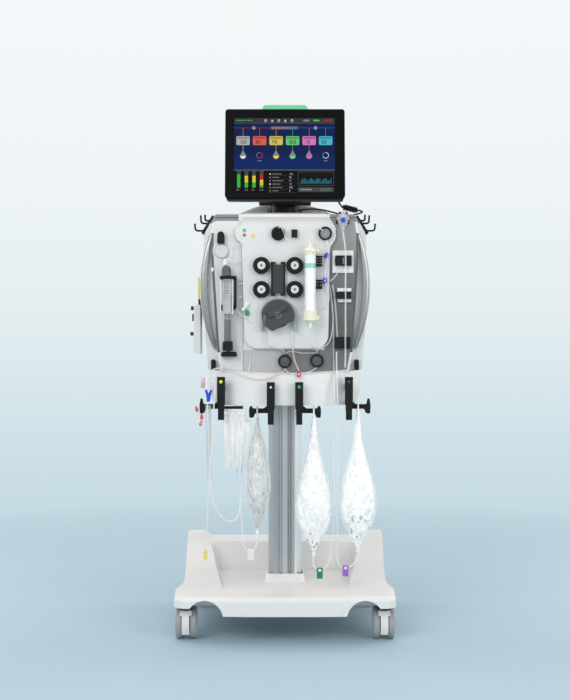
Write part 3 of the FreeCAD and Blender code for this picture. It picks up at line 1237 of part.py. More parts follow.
LINE_4 = [(218, -178, 249.6), (217.3, -178, 238), (213.5, -178, 224), (205, -178, 212.5),
          (193, -178, 205.5), (180, -178, 202.5), (168, -178.5, 205), (160, -180, 214),
          (156, -184, 230), (155, -190, 262), (156, -197, 315), (155.5, -203, 375),
          (156.5, -208, 435), (156, -211, 495), (156.5, -214, 555), (155.5, -217, 620),
          (156, -218, 685), (155.5, -213, 742), (154, -197, 786), (153.5, -191, 820),
          (154, -188.5, 850)]

TAG_2 = (-102.5, -178.0, 252.3)
TAG_3 = (104.0, -178.0, 196.2)
TAG_4 = (181.0, -178.0, 203.0)


def access_line():
    """The yellow line and the connector at its free end."""
    end = V(*ACCESS_LINE[-1])
    plug = fuse(cyl(end.x, end.y, end.z - 12, 5, 12), cyl(end.x, end.y, end.z - 30, 3.5, 18),
                cyl(end.x, end.y, end.z - 24, 5.5, 6))
    return Part.makeCompound([tube(ACCESS_LINE, BAG_LINE_D), plug])


def bag_lines():
    return Part.makeCompound([tube(r, BAG_LINE_D) for r in (LOOP_LINE, LINE_2, LINE_3, LINE_4)])


NECK_LEAD = [(46, -12, 1294), (76, -23, 1297), (108, -36, 1294), (138, -49, 1286), (164, -57, 1277.5)]
LEAD_LOW = [(180, -45, PLUG_Z), (182, -36, PLUG_Z), (191, -30, PLUG_Z), (206, -28, 1276),
            (222, -29, 1279), (235, -35, 1282), (241, -44, 1284.5), (238, -54, 1286.2),
            (227.4, -57, 1286.6)]
LEAD_RISE = [(175.5, -57, 1300.5), (169, -56.5, 1310), (160, -53, 1324), (143, -46, 1333),
             (118, -40, 1331), (90, -40, 1322), (64, -47, 1313), (47, -51.5, 1309.5), (33.4, -52, 1308.8)]


def monitor_plug():
    """The plug block of the monitor lead on the right shoulder."""
    block = box(166, 194, -68, -46, BODY_TOP, BODY_TOP + PLUG_HEIGHT)
    block = round_edges(block, 3, lambda e: lies_on(e, "z", BODY_TOP + PLUG_HEIGHT))
    ribs = [box(166 + 4 * i, 168 + 4 * i, -69, -60, BODY_TOP + 3, BODY_TOP + 14) for i in range(1, 7)]
    return fuse(block, *ribs)


def monitor_cord():
    return Part.makeCompound([tube(r, LEAD_D) for r in (NECK_LEAD, LEAD_LOW, LEAD_RISE)])


def monitor_cord_coil():
    start = V(*CURL_END)
    along = V(*CURL_START) - start
    return Part.makeCylinder(CURL_D / 2, along.Length, start, along)


# Display

def neck_base():
    post = cyl(0, 0, BODY_TOP - BODY_WALL, 30, 22)
    plinth = cyl(0, 0, BODY_TOP, 50, 17)
    plinth = round_edges(plinth, 4, lambda e: lies_on(e, "z", BODY_TOP + 17) and e.Closed)
    turret = cyl(0, 0, BODY_TOP + 17, TURRET_R, TURRET_TOP - BODY_TOP - 17)
    bore = cyl(0, 0, TURRET_TOP - 20, 15 + RUN, 30)
    return fuse(post, plinth, turret).cut(bore)


def neck_yoke():
    """Swivel disc and arm that carries the tilt pin."""
    base = TURRET_TOP + FIT
    disc = cyl(0, 0, base, TURRET_R, 6)
    spigot = cyl(0, 0, TURRET_TOP - 18, 15, 20)
    arm = box(-33, 33, TILT_AXIS_Y, 20, base, base + 9)
    barrel = cyl(-33, TILT_AXIS_Y, TILT_AXIS_Z, HINGE_R, 66, (1, 0, 0))
    pin = cyl(-80, TILT_AXIS_Y, TILT_AXIS_Z, PIN_R, 160, (1, 0, 0))
    return fuse(disc, spigot, arm, barrel, pin)


def lean(shape):
    """Bring a display piece from its upright drawing to its place on the tilt hinge."""
    shape.rotate(V(0, 0, 0), V(1, 0, 0), -MONITOR_LEAN)
    shape.translate(V(0, MONITOR_FRONT_Y, MONITOR_BOTTOM_Z))
    return shape


def monitor_bezel():
    """Glass front with a shallow screen recess."""
    w = MONITOR_HALF_WIDTH
    h = MONITOR_HEIGHT
    front = prism_y([(-w, 0, 9), (w, 0, 9), (w, h, 9), (-w, h, 9)], 0, BEZEL_DEPTH)
    front = round_edges(front, 1.5, lambda e: lies_on(e, "y", 0))
    screen = box(-w + 25, w - 29, -1, SCREEN_RECESS, 12, h - 26)
    return lean(front.cut(screen))


def monitor_back():
    """Rear housing of the display with its hinge lugs and vent slots."""
    w = MONITOR_HALF_WIDTH - 4
    h = MONITOR_HEIGHT - 3
    low = -7
    rim = prism_y([(-w, low, 10), (w, low, 10), (w, h, 10), (-w, h, 10)], BEZEL_DEPTH, 30)
    rim = round_edges(rim, 5, lambda e: lies_on(e, "y", 30))
    hump = prism_y([(-w + 34, 12, 20), (w - 34, 12, 20), (w - 34, h - 30, 20), (-w + 34, h - 30, 20)],
                   28, 50)
    hump = round_edges(hump, 8, lambda e: lies_on(e, "y", 50))
    shell = fuse(rim, hump)
    for i in range(8):
        shell = shell.cut(box(-60, 60, 46, 55, 150 + 9 * i, 154 + 9 * i))
    shell = lean(shell)
    for side in (-1, 1):
        x0 = side * (34 + 23) - 23
        barrel = cyl(x0, TILT_AXIS_Y, TILT_AXIS_Z, HINGE_R, 46, (1, 0, 0))
        web = box(x0 + 4, x0 + 42, MONITOR_FRONT_Y + 34, TILT_AXIS_Y, TILT_AXIS_Z - 4,
                  TILT_AXIS_Z + HINGE_R)
        gusset = box(x0 + 10, x0 + 36, MONITOR_FRONT_Y + 44, TILT_AXIS_Y - 4,
                     TILT_AXIS_Z + HINGE_R - 1, TILT_AXIS_Z + 44)
        shell = fuse(shell, barrel, web, gusset)
    return shell.cut(cyl(-90, TILT_AXIS_Y, TILT_AXIS_Z, PIN_R + RUN, 180, (1, 0, 0)))


def beacon():
    """Translucent signal light along the top edge."""
    h = MONITOR_HEIGHT
    low = BEACON_HALF_WIDTH
    high = BEACON_HALF_WIDTH - 11
    top = h + BEACON_HEIGHT
    bar = prism_y([(-low, h - 3), (low, h - 3), (high, top, 8), (-high, top, 8)], BEZEL_DEPTH + 1, 29)
    return lean(round_edges(bar, 2, lambda e: e.BoundBox.ZMin > top - 1))


def save(name, shape):
    shape.exportStep(os.path.join("parts", name + ".step"))


def main():
    os.makedirs("parts", exist_ok=True)
    save("base_tray", base_tray())
    save("base_chassis", base_chassis())
    save("column", column())
    for place, x, y in caster_places():
        save("caster_fork_" + place, caster_fork(x, y))
        save("caster_wheels_" + place, caster_wheels(x, y))
    save("rear_housing", rear_housing())
    save("rear_inlets", rear_inlets())
    save("push_handle", push_handle())
    right = side_shell()
    save("side_shells", Part.makeCompound([right, mirror_x(right)]))
    save("front_frame", front_frame())
    save("syringe_panel", syringe_panel())
    save("return_panel", return_panel())
    save("pump_panel", pump_panel())
    save("scale_housing", scale_housing())
    save("top_cover", top_cover())
    save("inner_chassis", inner_chassis())
    save("pump_motors", pump_motors())
    save("electronics", electronics())
    save("pump_raceways", pump_raceways())
    save("blood_pump_rotor", blood_pump_rotor())
    for i, (x, z, r) in enumerate(pump_axes()[1:]):
        save("fluid_pump_rotor_%d" % (i + 1), fluid_pump_rotor(x, z))
    save("pressure_pods", pressure_pods())
    save("sensor_blocks", sensor_blocks())
    save("filter_body", filter_body())
    save("filter_headers", filter_headers())
    save("syringe_holder", syringe_holder())
    save("syringe_barrel", syringe_barrel())
    save("syringe_pusher", syringe_pusher())
    save("drip_chamber", drip_chamber())
    save("line_hooks", line_hooks())
    save("blood_warmer", blood_warmer())
    save("tubing_set", tubing_set())
    save("line_clamps", line_clamps())
    for row in scale_rows():
        save("scale_arm_%d" % row[0], scale_arm(*row))
    save("effluent_bag", effluent_bag())
    save("bag_2", solution_bag(BAG_2, HOOK_INNER_Z, TAG_2, LINE_2))
    save("bag_3", solution_bag(BAG_3, HOOK_INNER_Z, TAG_3, LINE_3))
    save("bag_4", solution_bag(BAG_4, HOOK_OUTER_Z, TAG_4, LINE_4))
    save("access_line", access_line())
    save("bag_lines", bag_lines())
    save("monitor_plug", monitor_plug())
    save("monitor_cord", monitor_cord())
    save("monitor_cord_coil", monitor_cord_coil())
    save("neck_base", neck_base())
    save("neck_yoke", neck_yoke())
    save("monitor_bezel", monitor_bezel())
    save("monitor_back", monitor_back())
    save("beacon", beacon())
    for name, points in FRONT_ROUTES.items():
        report_line(name, points, LINE_D)
    for name, points in (("access_line", ACCESS_LINE), ("loop_line", LOOP_LINE), ("line_2", LINE_2),
                         ("line_3", LINE_3), ("line_4", LINE_4)):
        report_line(name, points, BAG_LINE_D)
    for name, points in (("neck_lead", NECK_LEAD), ("lead_low", LEAD_LOW), ("lead_rise", LEAD_RISE)):
        report_line(name, points, LEAD_D)


main()
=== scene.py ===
"""Looks of the dialysis machine: materials, display picture, bags, lines and small trim.

Points and sizes are written in millimetres in the CAD frame and turned into metres by mm().
"""
import math

import bmesh
import bpy
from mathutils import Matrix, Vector, noise


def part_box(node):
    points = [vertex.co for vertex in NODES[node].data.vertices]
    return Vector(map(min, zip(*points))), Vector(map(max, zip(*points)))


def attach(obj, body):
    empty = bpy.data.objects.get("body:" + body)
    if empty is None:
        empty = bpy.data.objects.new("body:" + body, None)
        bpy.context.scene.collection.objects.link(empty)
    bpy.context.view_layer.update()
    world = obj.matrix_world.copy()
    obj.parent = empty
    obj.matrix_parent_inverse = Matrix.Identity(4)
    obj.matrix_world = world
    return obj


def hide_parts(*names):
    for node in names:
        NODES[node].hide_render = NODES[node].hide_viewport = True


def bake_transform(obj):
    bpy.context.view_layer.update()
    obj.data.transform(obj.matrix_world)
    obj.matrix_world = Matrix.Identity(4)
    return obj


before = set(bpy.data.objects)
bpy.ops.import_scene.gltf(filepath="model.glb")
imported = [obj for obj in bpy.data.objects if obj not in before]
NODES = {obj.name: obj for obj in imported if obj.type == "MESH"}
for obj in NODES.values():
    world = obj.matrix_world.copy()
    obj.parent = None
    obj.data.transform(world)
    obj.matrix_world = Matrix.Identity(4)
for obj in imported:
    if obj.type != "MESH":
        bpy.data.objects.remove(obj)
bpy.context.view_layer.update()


def mm(*values):
    return Vector([v / 1000.0 for v in values])


# Materials

MOULD_GRAIN = 900.0
MOULD_RELIEF = 0.0004


def shader(name):
    material = bpy.data.materials.new(name)
    material.use_nodes = True
    tree = material.node_tree
    return material, tree, tree.nodes["Principled BSDF"]


def give(tree, socket, value):
    """Sets a socket to a number or a colour, or links it to the output that feeds it."""
    if isinstance(value, (int, float)):
        socket.default_value = value
    elif isinstance(value, tuple):
        socket.default_value = value + (1.0,)
    else:
        tree.links.new(value, socket)


def settings(bsdf, **values):
    names = {"color": "Base Color", "rough": "Roughness", "metal": "Metallic", "coat": "Coat Weight",
        "coat_rough": "Coat Roughness", "aniso": "Anisotropic", "spec": "Specular IOR Level",
        "glow": "Emission Strength", "glow_color": "Emission Color", "sss": "Subsurface Weight"}
    for key, value in values.items():
        feed(bsdf, names[key], value)


def feed(bsdf, socket, value):
    give(bsdf.id_data, bsdf.inputs[socket], value)


def coords(tree):
    return tree.nodes.new("ShaderNodeTexCoord").outputs["Object"]


def stretched(tree, scale):
    """Object coordinates in metres, scaled separately along each axis."""
    mapping = tree.nodes.new("ShaderNodeMapping")
    mapping.inputs["Scale"].default_value = scale
    tree.links.new(coords(tree), mapping.inputs["Vector"])
    return mapping.outputs["Vector"]


def grain(tree, scale, detail=3.0, rough=0.55, vector=None):
    tex = tree.nodes.new("ShaderNodeTexNoise")
    tex.inputs["Scale"].default_value = scale
    tex.inputs["Detail"].default_value = detail
    tex.inputs["Roughness"].default_value = rough
    tree.links.new(vector or coords(tree), tex.inputs["Vector"])
    return tex.outputs["Fac"]


def ramp(tree, value, *stops):
    """A colour ramp through (place, colour) stops, where a bare number is a grey."""
    node = tree.nodes.new("ShaderNodeValToRGB")
    elements = node.color_ramp.elements
    while len(elements) < len(stops):
        elements.new(0.5)
    for element, (place, color) in zip(elements, stops):
        element.position = place
        element.color = (color if isinstance(color, tuple) else (color,) * 3) + (1.0,)
    tree.links.new(value, node.inputs["Fac"])
    return node.outputs["Color"]


def remap(tree, value, low, high, to_low, to_high):
    node = tree.nodes.new("ShaderNodeMapRange")
    for key, number in (("From Min", low), ("From Max", high), ("To Min", to_low), ("To Max", to_high)):
        node.inputs[key].default_value = number
    tree.links.new(value, node.inputs["Value"])
    return node.outputs["Result"]


def math_node(tree, kind, a, b):
    node = tree.nodes.new("ShaderNodeMath")
    node.operation = kind
    for socket, value in zip(node.inputs, (a, b)):
        give(tree, socket, value)
    return node.outputs["Value"]


def mixed(tree, factor, a, b, blend="MIX"):
    """Colour a where factor is 0 and b, or its blend with a, where it is 1. Each is a colour or a socket."""
    node = tree.nodes.new("ShaderNodeMix")
    node.data_type = "RGBA"
    node.blend_type = blend
    for place, value in ((0, factor), (6, a), (7, b)):
        give(tree, node.inputs[place], value)
    return node.outputs[2]


def axis_value(tree, axis):
    split = tree.nodes.new("ShaderNodeSeparateXYZ")
    tree.links.new(coords(tree), split.inputs[0])
    return split.outputs[axis]


def inside(tree, axis, span):
    """1 between two places in millimetres along an axis of the CAD frame, 0 outside."""
    value = axis_value(tree, axis.upper())
    above = math_node(tree, "GREATER_THAN", value, span[0] / 1000.0)
    below = math_node(tree, "LESS_THAN", value, span[1] / 1000.0)
    return math_node(tree, "MULTIPLY", above, below)


def near(tree, axes, a, b, radius):
    """1 within a radius in millimetres of a line along the third axis, 0 outside."""
    squares = []
    for axis, middle in zip(axes, (a, b)):
        offset = math_node(tree, "SUBTRACT", axis_value(tree, axis), middle / 1000.0)
        squares.append(math_node(tree, "MULTIPLY", offset, offset))
    total = math_node(tree, "ADD", *squares)
    return math_node(tree, "LESS_THAN", total, (radius / 1000.0) ** 2)


def zone_mask(tree, zone):
    """1 in a zone, 0 outside: its spans along x, y and z and its round limit, joined."""
    masks = [near(tree, *span) if key == "round" else inside(tree, key, span) for key, span in zone.items()]
    joined = masks[0]
    for mask in masks[1:]:
        joined = math_node(tree, "MULTIPLY", joined, mask)
    return joined


def bump(tree, bsdf, height, strength, distance=0.001):
    node = tree.nodes.new("ShaderNodeBump")
    node.inputs["Strength"].default_value = strength
    node.inputs["Distance"].default_value = distance
    tree.links.new(height, node.inputs["Height"])
    feed(bsdf, "Normal", node.outputs["Normal"])


def uneven_gloss(tree, bsdf, scale, low, high):
    """Roughness that drifts between two values in smears."""
    feed(bsdf, "Roughness", remap(tree, grain(tree, scale, 4.0, 0.6), 0.35, 0.7, low, high))


def shade(color, amount):
    return tuple(max(0.0, min(1.0, c * amount)) for c in color)


def plastic(name, color, rough=0.32, spread=0.05, grain_depth=0.06, coat=0.0, sss=0.0, spec=0.5):
    """Moulded plastic: faint cloudy tone, uneven gloss and a fine moulded grain."""
    material, tree, bsdf = shader(name)
    settings(bsdf, rough=rough, coat=coat, coat_rough=0.12, spec=spec, sss=sss)
    cloud = grain(tree, 9.0, 2.0)
    feed(bsdf, "Base Color", ramp(tree, cloud, (0.3, shade(color, 1 - spread)),
        (0.7, shade(color, 1 + spread * 0.4))))
    uneven_gloss(tree, bsdf, 38.0, rough * 0.85, rough * 1.18)
    bump(tree, bsdf, grain(tree, MOULD_GRAIN, 2.0), grain_depth, MOULD_RELIEF)
    return material


def metal(name, color, rough=0.3, scale=(500.0, 500.0, 5.0), spread=0.12, strength=0.25):
    """Brushed or painted metal with its grain along one axis."""
    material, tree, bsdf = shader(name)
    settings(bsdf, metal=1.0)
    lines = grain(tree, 1.0, 3.0, 0.6, stretched(tree, scale))
    feed(bsdf, "Base Color", ramp(tree, lines, (0.3, shade(color, 1 - spread)),
        (0.7, shade(color, 1 + spread * 0.5))))
    feed(bsdf, "Roughness", remap(tree, lines, 0.3, 0.7, rough * 0.8, rough * 1.25))
    bump(tree, bsdf, lines, strength, 0.0002)
    return material


def light_emitter(name, color, strength):
    material, _, bsdf = shader(name)
    settings(bsdf, color=shade(color, 0.4), rough=0.3, glow=strength, glow_color=color)
    return material


def zoned(name, base, zones, rough=0.35, coat=0.0, spec=0.5):
    """Plastic whose colour changes in zones of the CAD frame: [(colour, zone), ...]."""
    material, tree, bsdf = shader(name)
    settings(bsdf, rough=rough, coat=coat, coat_rough=0.12, spec=spec)
    color = ramp(tree, grain(tree, 12.0, 2.0), (0.3, shade(base, 0.93)), (0.7, shade(base, 1.03)))
    for zone_color, span in zones:
        color = mixed(tree, zone_mask(tree, span), color, zone_color)
    feed(bsdf, "Base Color", color)
    uneven_gloss(tree, bsdf, 45.0, rough * 0.85, rough * 1.2)
    bump(tree, bsdf, grain(tree, MOULD_GRAIN, 2.0), 0.05, MOULD_RELIEF)
    return material


WHITE = plastic("white_gloss", (0.80, 0.80, 0.80), 0.32, 0.02, coat=0.2)
LIGHT_GREY = plastic("light_grey", (0.60, 0.61, 0.62), 0.36, 0.03, coat=0.1)
BLACK = plastic("black_plastic", (0.008, 0.008, 0.009), 0.40, 0.12, spec=0.22)
CREAM = plastic("cream_header", (0.84, 0.82, 0.66), 0.32, 0.05, coat=0.2, sss=0.05)
YELLOW = plastic("yellow_line", (0.82, 0.70, 0.10), 0.30, 0.06, coat=0.3)
RUBBER = plastic("cable_rubber", (0.009, 0.009, 0.010), 0.55, 0.15, grain_depth=0.12, spec=0.25)
GREEN_CAP = plastic("green_clip", (0.015, 0.26, 0.09), 0.32, 0.06)
PURPLE_CAP = plastic("purple_clip", (0.33, 0.13, 0.58), 0.32, 0.06)
BLUE_CAP = plastic("blue_clip", (0.02, 0.05, 0.62), 0.32, 0.06)
RED_CAP = plastic("red_clip", (0.72, 0.06, 0.08), 0.32, 0.06)
WHITE_CAP = plastic("white_clip", (0.82, 0.82, 0.83), 0.30, 0.03, coat=0.2)
PINK_CAP = plastic("pink_label", (0.78, 0.52, 0.52), 0.45, 0.05)
BOARD = plastic("board_green", (0.04, 0.16, 0.07), 0.4, 0.1)
CHASSIS_METAL = metal("chassis_metal", (0.40, 0.41, 0.42), 0.4, (60.0, 500.0, 60.0), 0.12, 0.3)
MOTOR_METAL = metal("motor_metal", (0.16, 0.16, 0.17), 0.42, (60.0, 600.0, 60.0), 0.12, 0.3)


def bezel_glass():
    """Dull black frame and glass, kept from mirroring the room."""
    material, tree, bsdf = shader("bezel_glass")
    settings(bsdf, color=(0.004, 0.004, 0.004), rough=0.30, spec=0.08)
    bump(tree, bsdf, grain(tree, 500.0, 2.0), 0.01, 0.0002)
    return material


def graded(name, axis, low, high, *stops, rough=0.34, coat=0.12):
    """Satin paint with painted shading: its tone changes along one axis, between two places in millimetres.
    """
    material, tree, bsdf = shader(name)
    settings(bsdf, coat=coat, coat_rough=0.15)
    place = remap(tree, axis_value(tree, axis), low / 1000.0, high / 1000.0, 0.0, 1.0)
    paint = ramp(tree, place, *stops)
    cloud = ramp(tree, grain(tree, 7.0, 2.0), (0.3, 0.95), (0.7, 1.0))
    feed(bsdf, "Base Color", mixed(tree, 1.0, paint, cloud, "MULTIPLY"))
    uneven_gloss(tree, bsdf, 34.0, rough * 0.88, rough * 1.15)
    bump(tree, bsdf, grain(tree, 1000.0, 2.0), 0.05, 0.0004)
    return material


def column_metal():
    """Brushed extrusion with painted reflections: soft bands across its width, brightest in a painted
    highlight along its right edge.
    """
    material, tree, bsdf = shader("column_metal")
    settings(bsdf, metal=1.0, aniso=0.3)
    across = remap(tree, axis_value(tree, "X"), -0.055, 0.055, 0.0, 1.0)
    # painted reflections: light and dark bands across the width, with a painted highlight along the right
    # edge
    bands = ramp(tree, across, (0.0, 0.60), (0.30, 0.46), (0.50, 0.66), (0.62, 0.42), (0.74, 0.48),
        (0.80, 0.92), (1.0, 0.84))
    lines = grain(tree, 1.0, 3.0, 0.6, stretched(tree, (700.0, 700.0, 4.0)))
    feed(bsdf, "Base Color", mixed(tree, remap(tree, lines, 0.3, 0.7, 0.10, 0.0), bands, (0.30, 0.30, 0.31)))
    feed(bsdf, "Roughness", remap(tree, lines, 0.3, 0.7, 0.29, 0.45))
    bump(tree, bsdf, lines, 0.25, 0.0002)
    return material


def shell_metal():
    """Satin metallic paint with painted shading, a little lighter towards its upper end."""
    material, tree, bsdf = shader("shell_metal")
    settings(bsdf, metal=0.75, coat=0.3, coat_rough=0.12)
    height = remap(tree, axis_value(tree, "Z"), 0.85, 1.21, 0.0, 1.0)
    # painted shading: darker towards the bottom, lighter above
    paint = ramp(tree, height, (0.0, 0.26), (0.4, 0.32), (0.8, 0.42), (1.0, 0.40))
    feed(bsdf, "Base Color", paint)
    flake = grain(tree, 1600.0, 1.0)
    feed(bsdf, "Roughness", remap(tree, flake, 0.3, 0.7, 0.26, 0.38))
    bump(tree, bsdf, flake, 0.05, 0.0002)
    return material


def return_panel_paint():
    """Dark satin plate with painted shading that makes it lighter above, and a grey part on its left that
    darkens to the right.
    """
    material, tree, bsdf = shader("return_panel_paint")
    settings(bsdf, coat=0.12, coat_rough=0.15)
    # painted shading: the plate's tone by height, lighter above
    up = remap(tree, axis_value(tree, "Z"), 0.80, 1.26, 0.0, 1.0)
    dark = ramp(tree, up, (0.0, 0.175), (0.12, 0.15), (0.28, 0.105), (0.58, 0.16), (0.80, 0.27),
        (1.0, 0.37))
    along = remap(tree, axis_value(tree, "X"), -0.124, 0.03, 0.0, 1.0)
    strip = ramp(tree, along, (0.0, 0.50), (0.72, 0.41), (0.80, 0.22), (1.0, 0.19))
    left = inside(tree, "x", (-130, 28))
    feed(bsdf, "Base Color", mixed(tree, left, dark, strip))
    uneven_gloss(tree, bsdf, 30.0, 0.30, 0.40)
    bump(tree, bsdf, grain(tree, 1100.0, 2.0), 0.06, 0.0004)
    return material


def base_paint():
    """Base shell: plain gloss white, a little dull and scuffed at the foot of its skirt."""
    material, tree, bsdf = shader("base_paint")
    settings(bsdf, coat=0.2, coat_rough=0.2)
    scuff = grain(tree, 60.0, 5.0, 0.7)
    low = remap(tree, axis_value(tree, "Z"), 0.084, 0.108, 0.7, 0.0)
    worn = math_node(tree, "MULTIPLY", low, remap(tree, scuff, 0.55, 0.75, 0.0, 1.0))
    feed(bsdf, "Base Color", mixed(tree, worn, (0.79, 0.79, 0.79), (0.55, 0.55, 0.55)))
    feed(bsdf, "Roughness", remap(tree, scuff, 0.3, 0.75, 0.34, 0.42))
    bump(tree, bsdf, grain(tree, 800.0, 2.0), 0.04, 0.0004)
    return material


def clear(name, color, alpha, rough=0.14, cloud=0.0, coat=0.4):
    """Clear or tinted plastic with a slightly cloudy cover."""
    material, tree, bsdf = shader(name)
    settings(bsdf, color=color, rough=rough, coat=coat, coat_rough=0.06, spec=0.6)
    spot = grain(tree, 60.0, 3.0, 0.6)
    cover = remap(tree, spot, 0.3, 0.7, alpha * (1 - cloud), min(1.0, alpha * (1 + cloud)))
    feed(bsdf, "Alpha", cover)
    bump(tree, bsdf, grain(tree, 500.0, 2.0), 0.05, 0.0004)
    return material


def film(name, tint, alpha, scale, depth, crease_shade_strength, low, high, painted_glow=0.0):
    """Crumpled bag film: painted highlights on its fold crests with painted shade between them, dark marks
    of painted crease shade that fade between two heights in millimetres, and a painted glow.
    """
    material, tree, bsdf = shader(name)
    # painted glow: the film is given a faint white glow of its own
    settings(bsdf, rough=0.12, coat=0.5, coat_rough=0.05, spec=0.7, glow=painted_glow, glow_color=(1.0, 1.0, 1.0))
    folds = grain(tree, 1.0, 4.0, 0.6, stretched(tree, scale))
    ridge = math_node(tree, "ABSOLUTE", math_node(tree, "SUBTRACT", folds, 0.5), 0.0)
    # painted highlight on the fold crests, painted shade in the folds between them
    crest = remap(tree, ridge, 0.0, 0.10, 1.0, 0.0)
    fine = grain(tree, 1.0, 3.0, 0.55, stretched(tree, tuple(3.4 * s for s in scale)))
    broad = grain(tree, 1.0, 2.0, 0.5, stretched(tree, tuple(0.55 * s for s in scale)))
    patch = remap(tree, broad, 0.42, 0.54, 0.0, 1.0)
    # painted crease shade: dark marks in the film's creases, strongest low on the bag
    crease_shade = math_node(tree, "MULTIPLY", remap(tree, fine, 0.56, 0.62, 0.0, crease_shade_strength), patch)
    place = remap(tree, axis_value(tree, "Z"), low / 1000.0, high / 1000.0, 1.0, 0.12)
    crease_shade = math_node(tree, "MULTIPLY", crease_shade, place)
    pale = mixed(tree, crest, shade(tint, 0.88), tint)
    feed(bsdf, "Base Color", mixed(tree, crease_shade, pale, (0.05, 0.052, 0.055)))
    cover = remap(tree, crest, 0.0, 1.0, alpha * 0.82, alpha)
    feed(bsdf, "Alpha", math_node(tree, "MAXIMUM", cover, crease_shade))
    bump(tree, bsdf, math_node(tree, "ADD", ridge, math_node(tree, "MULTIPLY", fine, 0.15)), depth, 0.010)
    return material


TUBE = clear("clear_tube", (0.74, 0.74, 0.75), 0.34, cloud=0.2)
TUBE_PINK = clear("primed_tube", (0.84, 0.68, 0.70), 0.42, cloud=0.2)
TUBE_WHITE = clear("milky_tube", (0.86, 0.87, 0.88), 0.50, cloud=0.15)
BUNDLE = clear("folded_tube", (0.70, 0.70, 0.71), 0.50, 0.20, cloud=0.2)
CHAMBER = clear("chamber_clear", (0.70, 0.71, 0.73), 0.45, 0.06)
BEACON = clear("beacon_green", (0.16, 0.66, 0.33), 0.95, 0.30, coat=0.1)
# Bag films: tint, alpha, fold scale, bump depth, strength of the painted crease shade, the heights in
# millimetres between which it fades, and the painted glow
BAG_FILM = film("bag_film", (0.98, 0.98, 0.98), 0.97, (42.0, 42.0, 24.0), 0.7, 1.0, 330, 430, 0.13)
SLIM_FILM = film("slim_film", (0.82, 0.82, 0.82), 0.84, (56.0, 56.0, 16.0), 0.9, 0.8, 330, 900)
RIM_FILM = film("rim_film", (0.95, 0.96, 0.97), 0.50, (40.0, 40.0, 12.0), 0.5, 0.0, 330, 430, 0.08)
SHEET_FILM = film("sheet_film", (0.95, 0.95, 0.95), 0.76, (46.0, 46.0, 7.0), 0.5, 0.0, 330, 430, 0.07)
CAD_EDGE_ANGLE = 32.0
PIECE_EDGE_ANGLE = 35.0
FLAT_ANGLE = 0.4
NORMAL_WEIGHT = 80


def round_edges(obj, width, angle):
    """A bevel, in millimetres, on the edges sharper than an angle in degrees."""
    bevel = obj.modifiers.new("edge", "BEVEL")
    bevel.width = width / 1000.0
    bevel.segments = 2
    bevel.limit_method = "ANGLE"
    bevel.angle_limit = math.radians(angle)
    return bevel


def dress(node, material, edge=0.8):
    """A CAD node's material, smooth shading and a small rounding on its sharp edges."""
    obj = NODES[node]
    if not obj.data.materials:
        obj.data.materials.append(material)
    for place in obj.material_slots:
        place.material = material
    obj.data.polygons.foreach_set("use_smooth", [True] * len(obj.data.polygons))
    weld = obj.modifiers.new("weld", "WELD")
    weld.merge_threshold = 0.00001
    flat = obj.modifiers.new("flat", "DECIMATE")
    flat.decimate_type = "DISSOLVE"
    flat.angle_limit = math.radians(FLAT_ANGLE)
    round_edges(obj, edge, CAD_EDGE_ANGLE)
    even = obj.modifiers.new("even", "WEIGHTED_NORMAL")
    even.mode = "FACE_AREA"
    even.weight = NORMAL_WEIGHT


# Building blocks

def link(obj, body, material, smooth=True):
    """Puts a mesh in the scene with its body and slot; a body or material of None is left open."""
    bpy.context.scene.collection.objects.link(obj)
    if material is not None:
        obj.data.materials.append(material)
    if smooth:
        obj.data.polygons.foreach_set("use_smooth", [True] * len(obj.data.polygons))
    if body is not None:
        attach(obj, body)
    return obj


def mesh_piece(name, verts, faces, body, material, smooth=True, marks=None):
    """A piece from points in millimetres. marks gives the material index of each face."""
    mesh = bpy.data.meshes.new(name)
    mesh.from_pydata([mm(*v) for v in verts], [], faces)
    mesh.validate()
    mesh.update()
    obj = bpy.data.objects.new(name, mesh)
    materials = material if isinstance(material, list) else [material]
    for item in materials:
        mesh.materials.append(item)
    if marks is not None:
        mesh.polygons.foreach_set("material_index", marks)
    return link(obj, body, None, smooth)


def bevelled(obj, width):
    round_edges(obj, width, PIECE_EDGE_ANGLE).harden_normals = True
    return obj


def spline_points(name, points):
    """Points along the smooth NURBS line whose control points are these, in millimetres."""
    curve = bpy.data.curves.new(name, "CURVE")
    curve.dimensions = "3D"
    curve.resolution_u = 10
    spline = curve.splines.new("NURBS")
    spline.points.add(len(points) - 1)
    for place, point in zip(spline.points, points):
        place.co = tuple(mm(*point)) + (1.0,)
    spline.order_u = 3
    spline.use_endpoint_u = True
    holder = bpy.data.objects.new(name, curve)
    bpy.context.scene.collection.objects.link(holder)
    mesh = bpy.data.meshes.new_from_object(holder)
    line = [v.co.copy() for v in mesh.vertices]
    bpy.data.objects.remove(holder)
    bpy.data.curves.remove(curve)
    bpy.data.meshes.remove(mesh)
    kept = [line[0]]
    for p in line[1:]:
        if (p - kept[-1]).length > 1e-5:
            kept.append(p)
    return kept


def ring_faces(rings, sides):
    """Four-sided faces between neighbouring rings of points."""
    faces = []
    for i in range(rings - 1):
        for k in range(sides):
            n = (k + 1) % sides
            faces.append((i * sides + k, i * sides + n, (i + 1) * sides + n, (i + 1) * sides + k))
    return faces


def end_faces(rings, sides):
    """The two faces that close a tube's first and last ring."""
    return [tuple(range(sides - 1, -1, -1)), tuple((rings - 1) * sides + k for k in range(sides))]


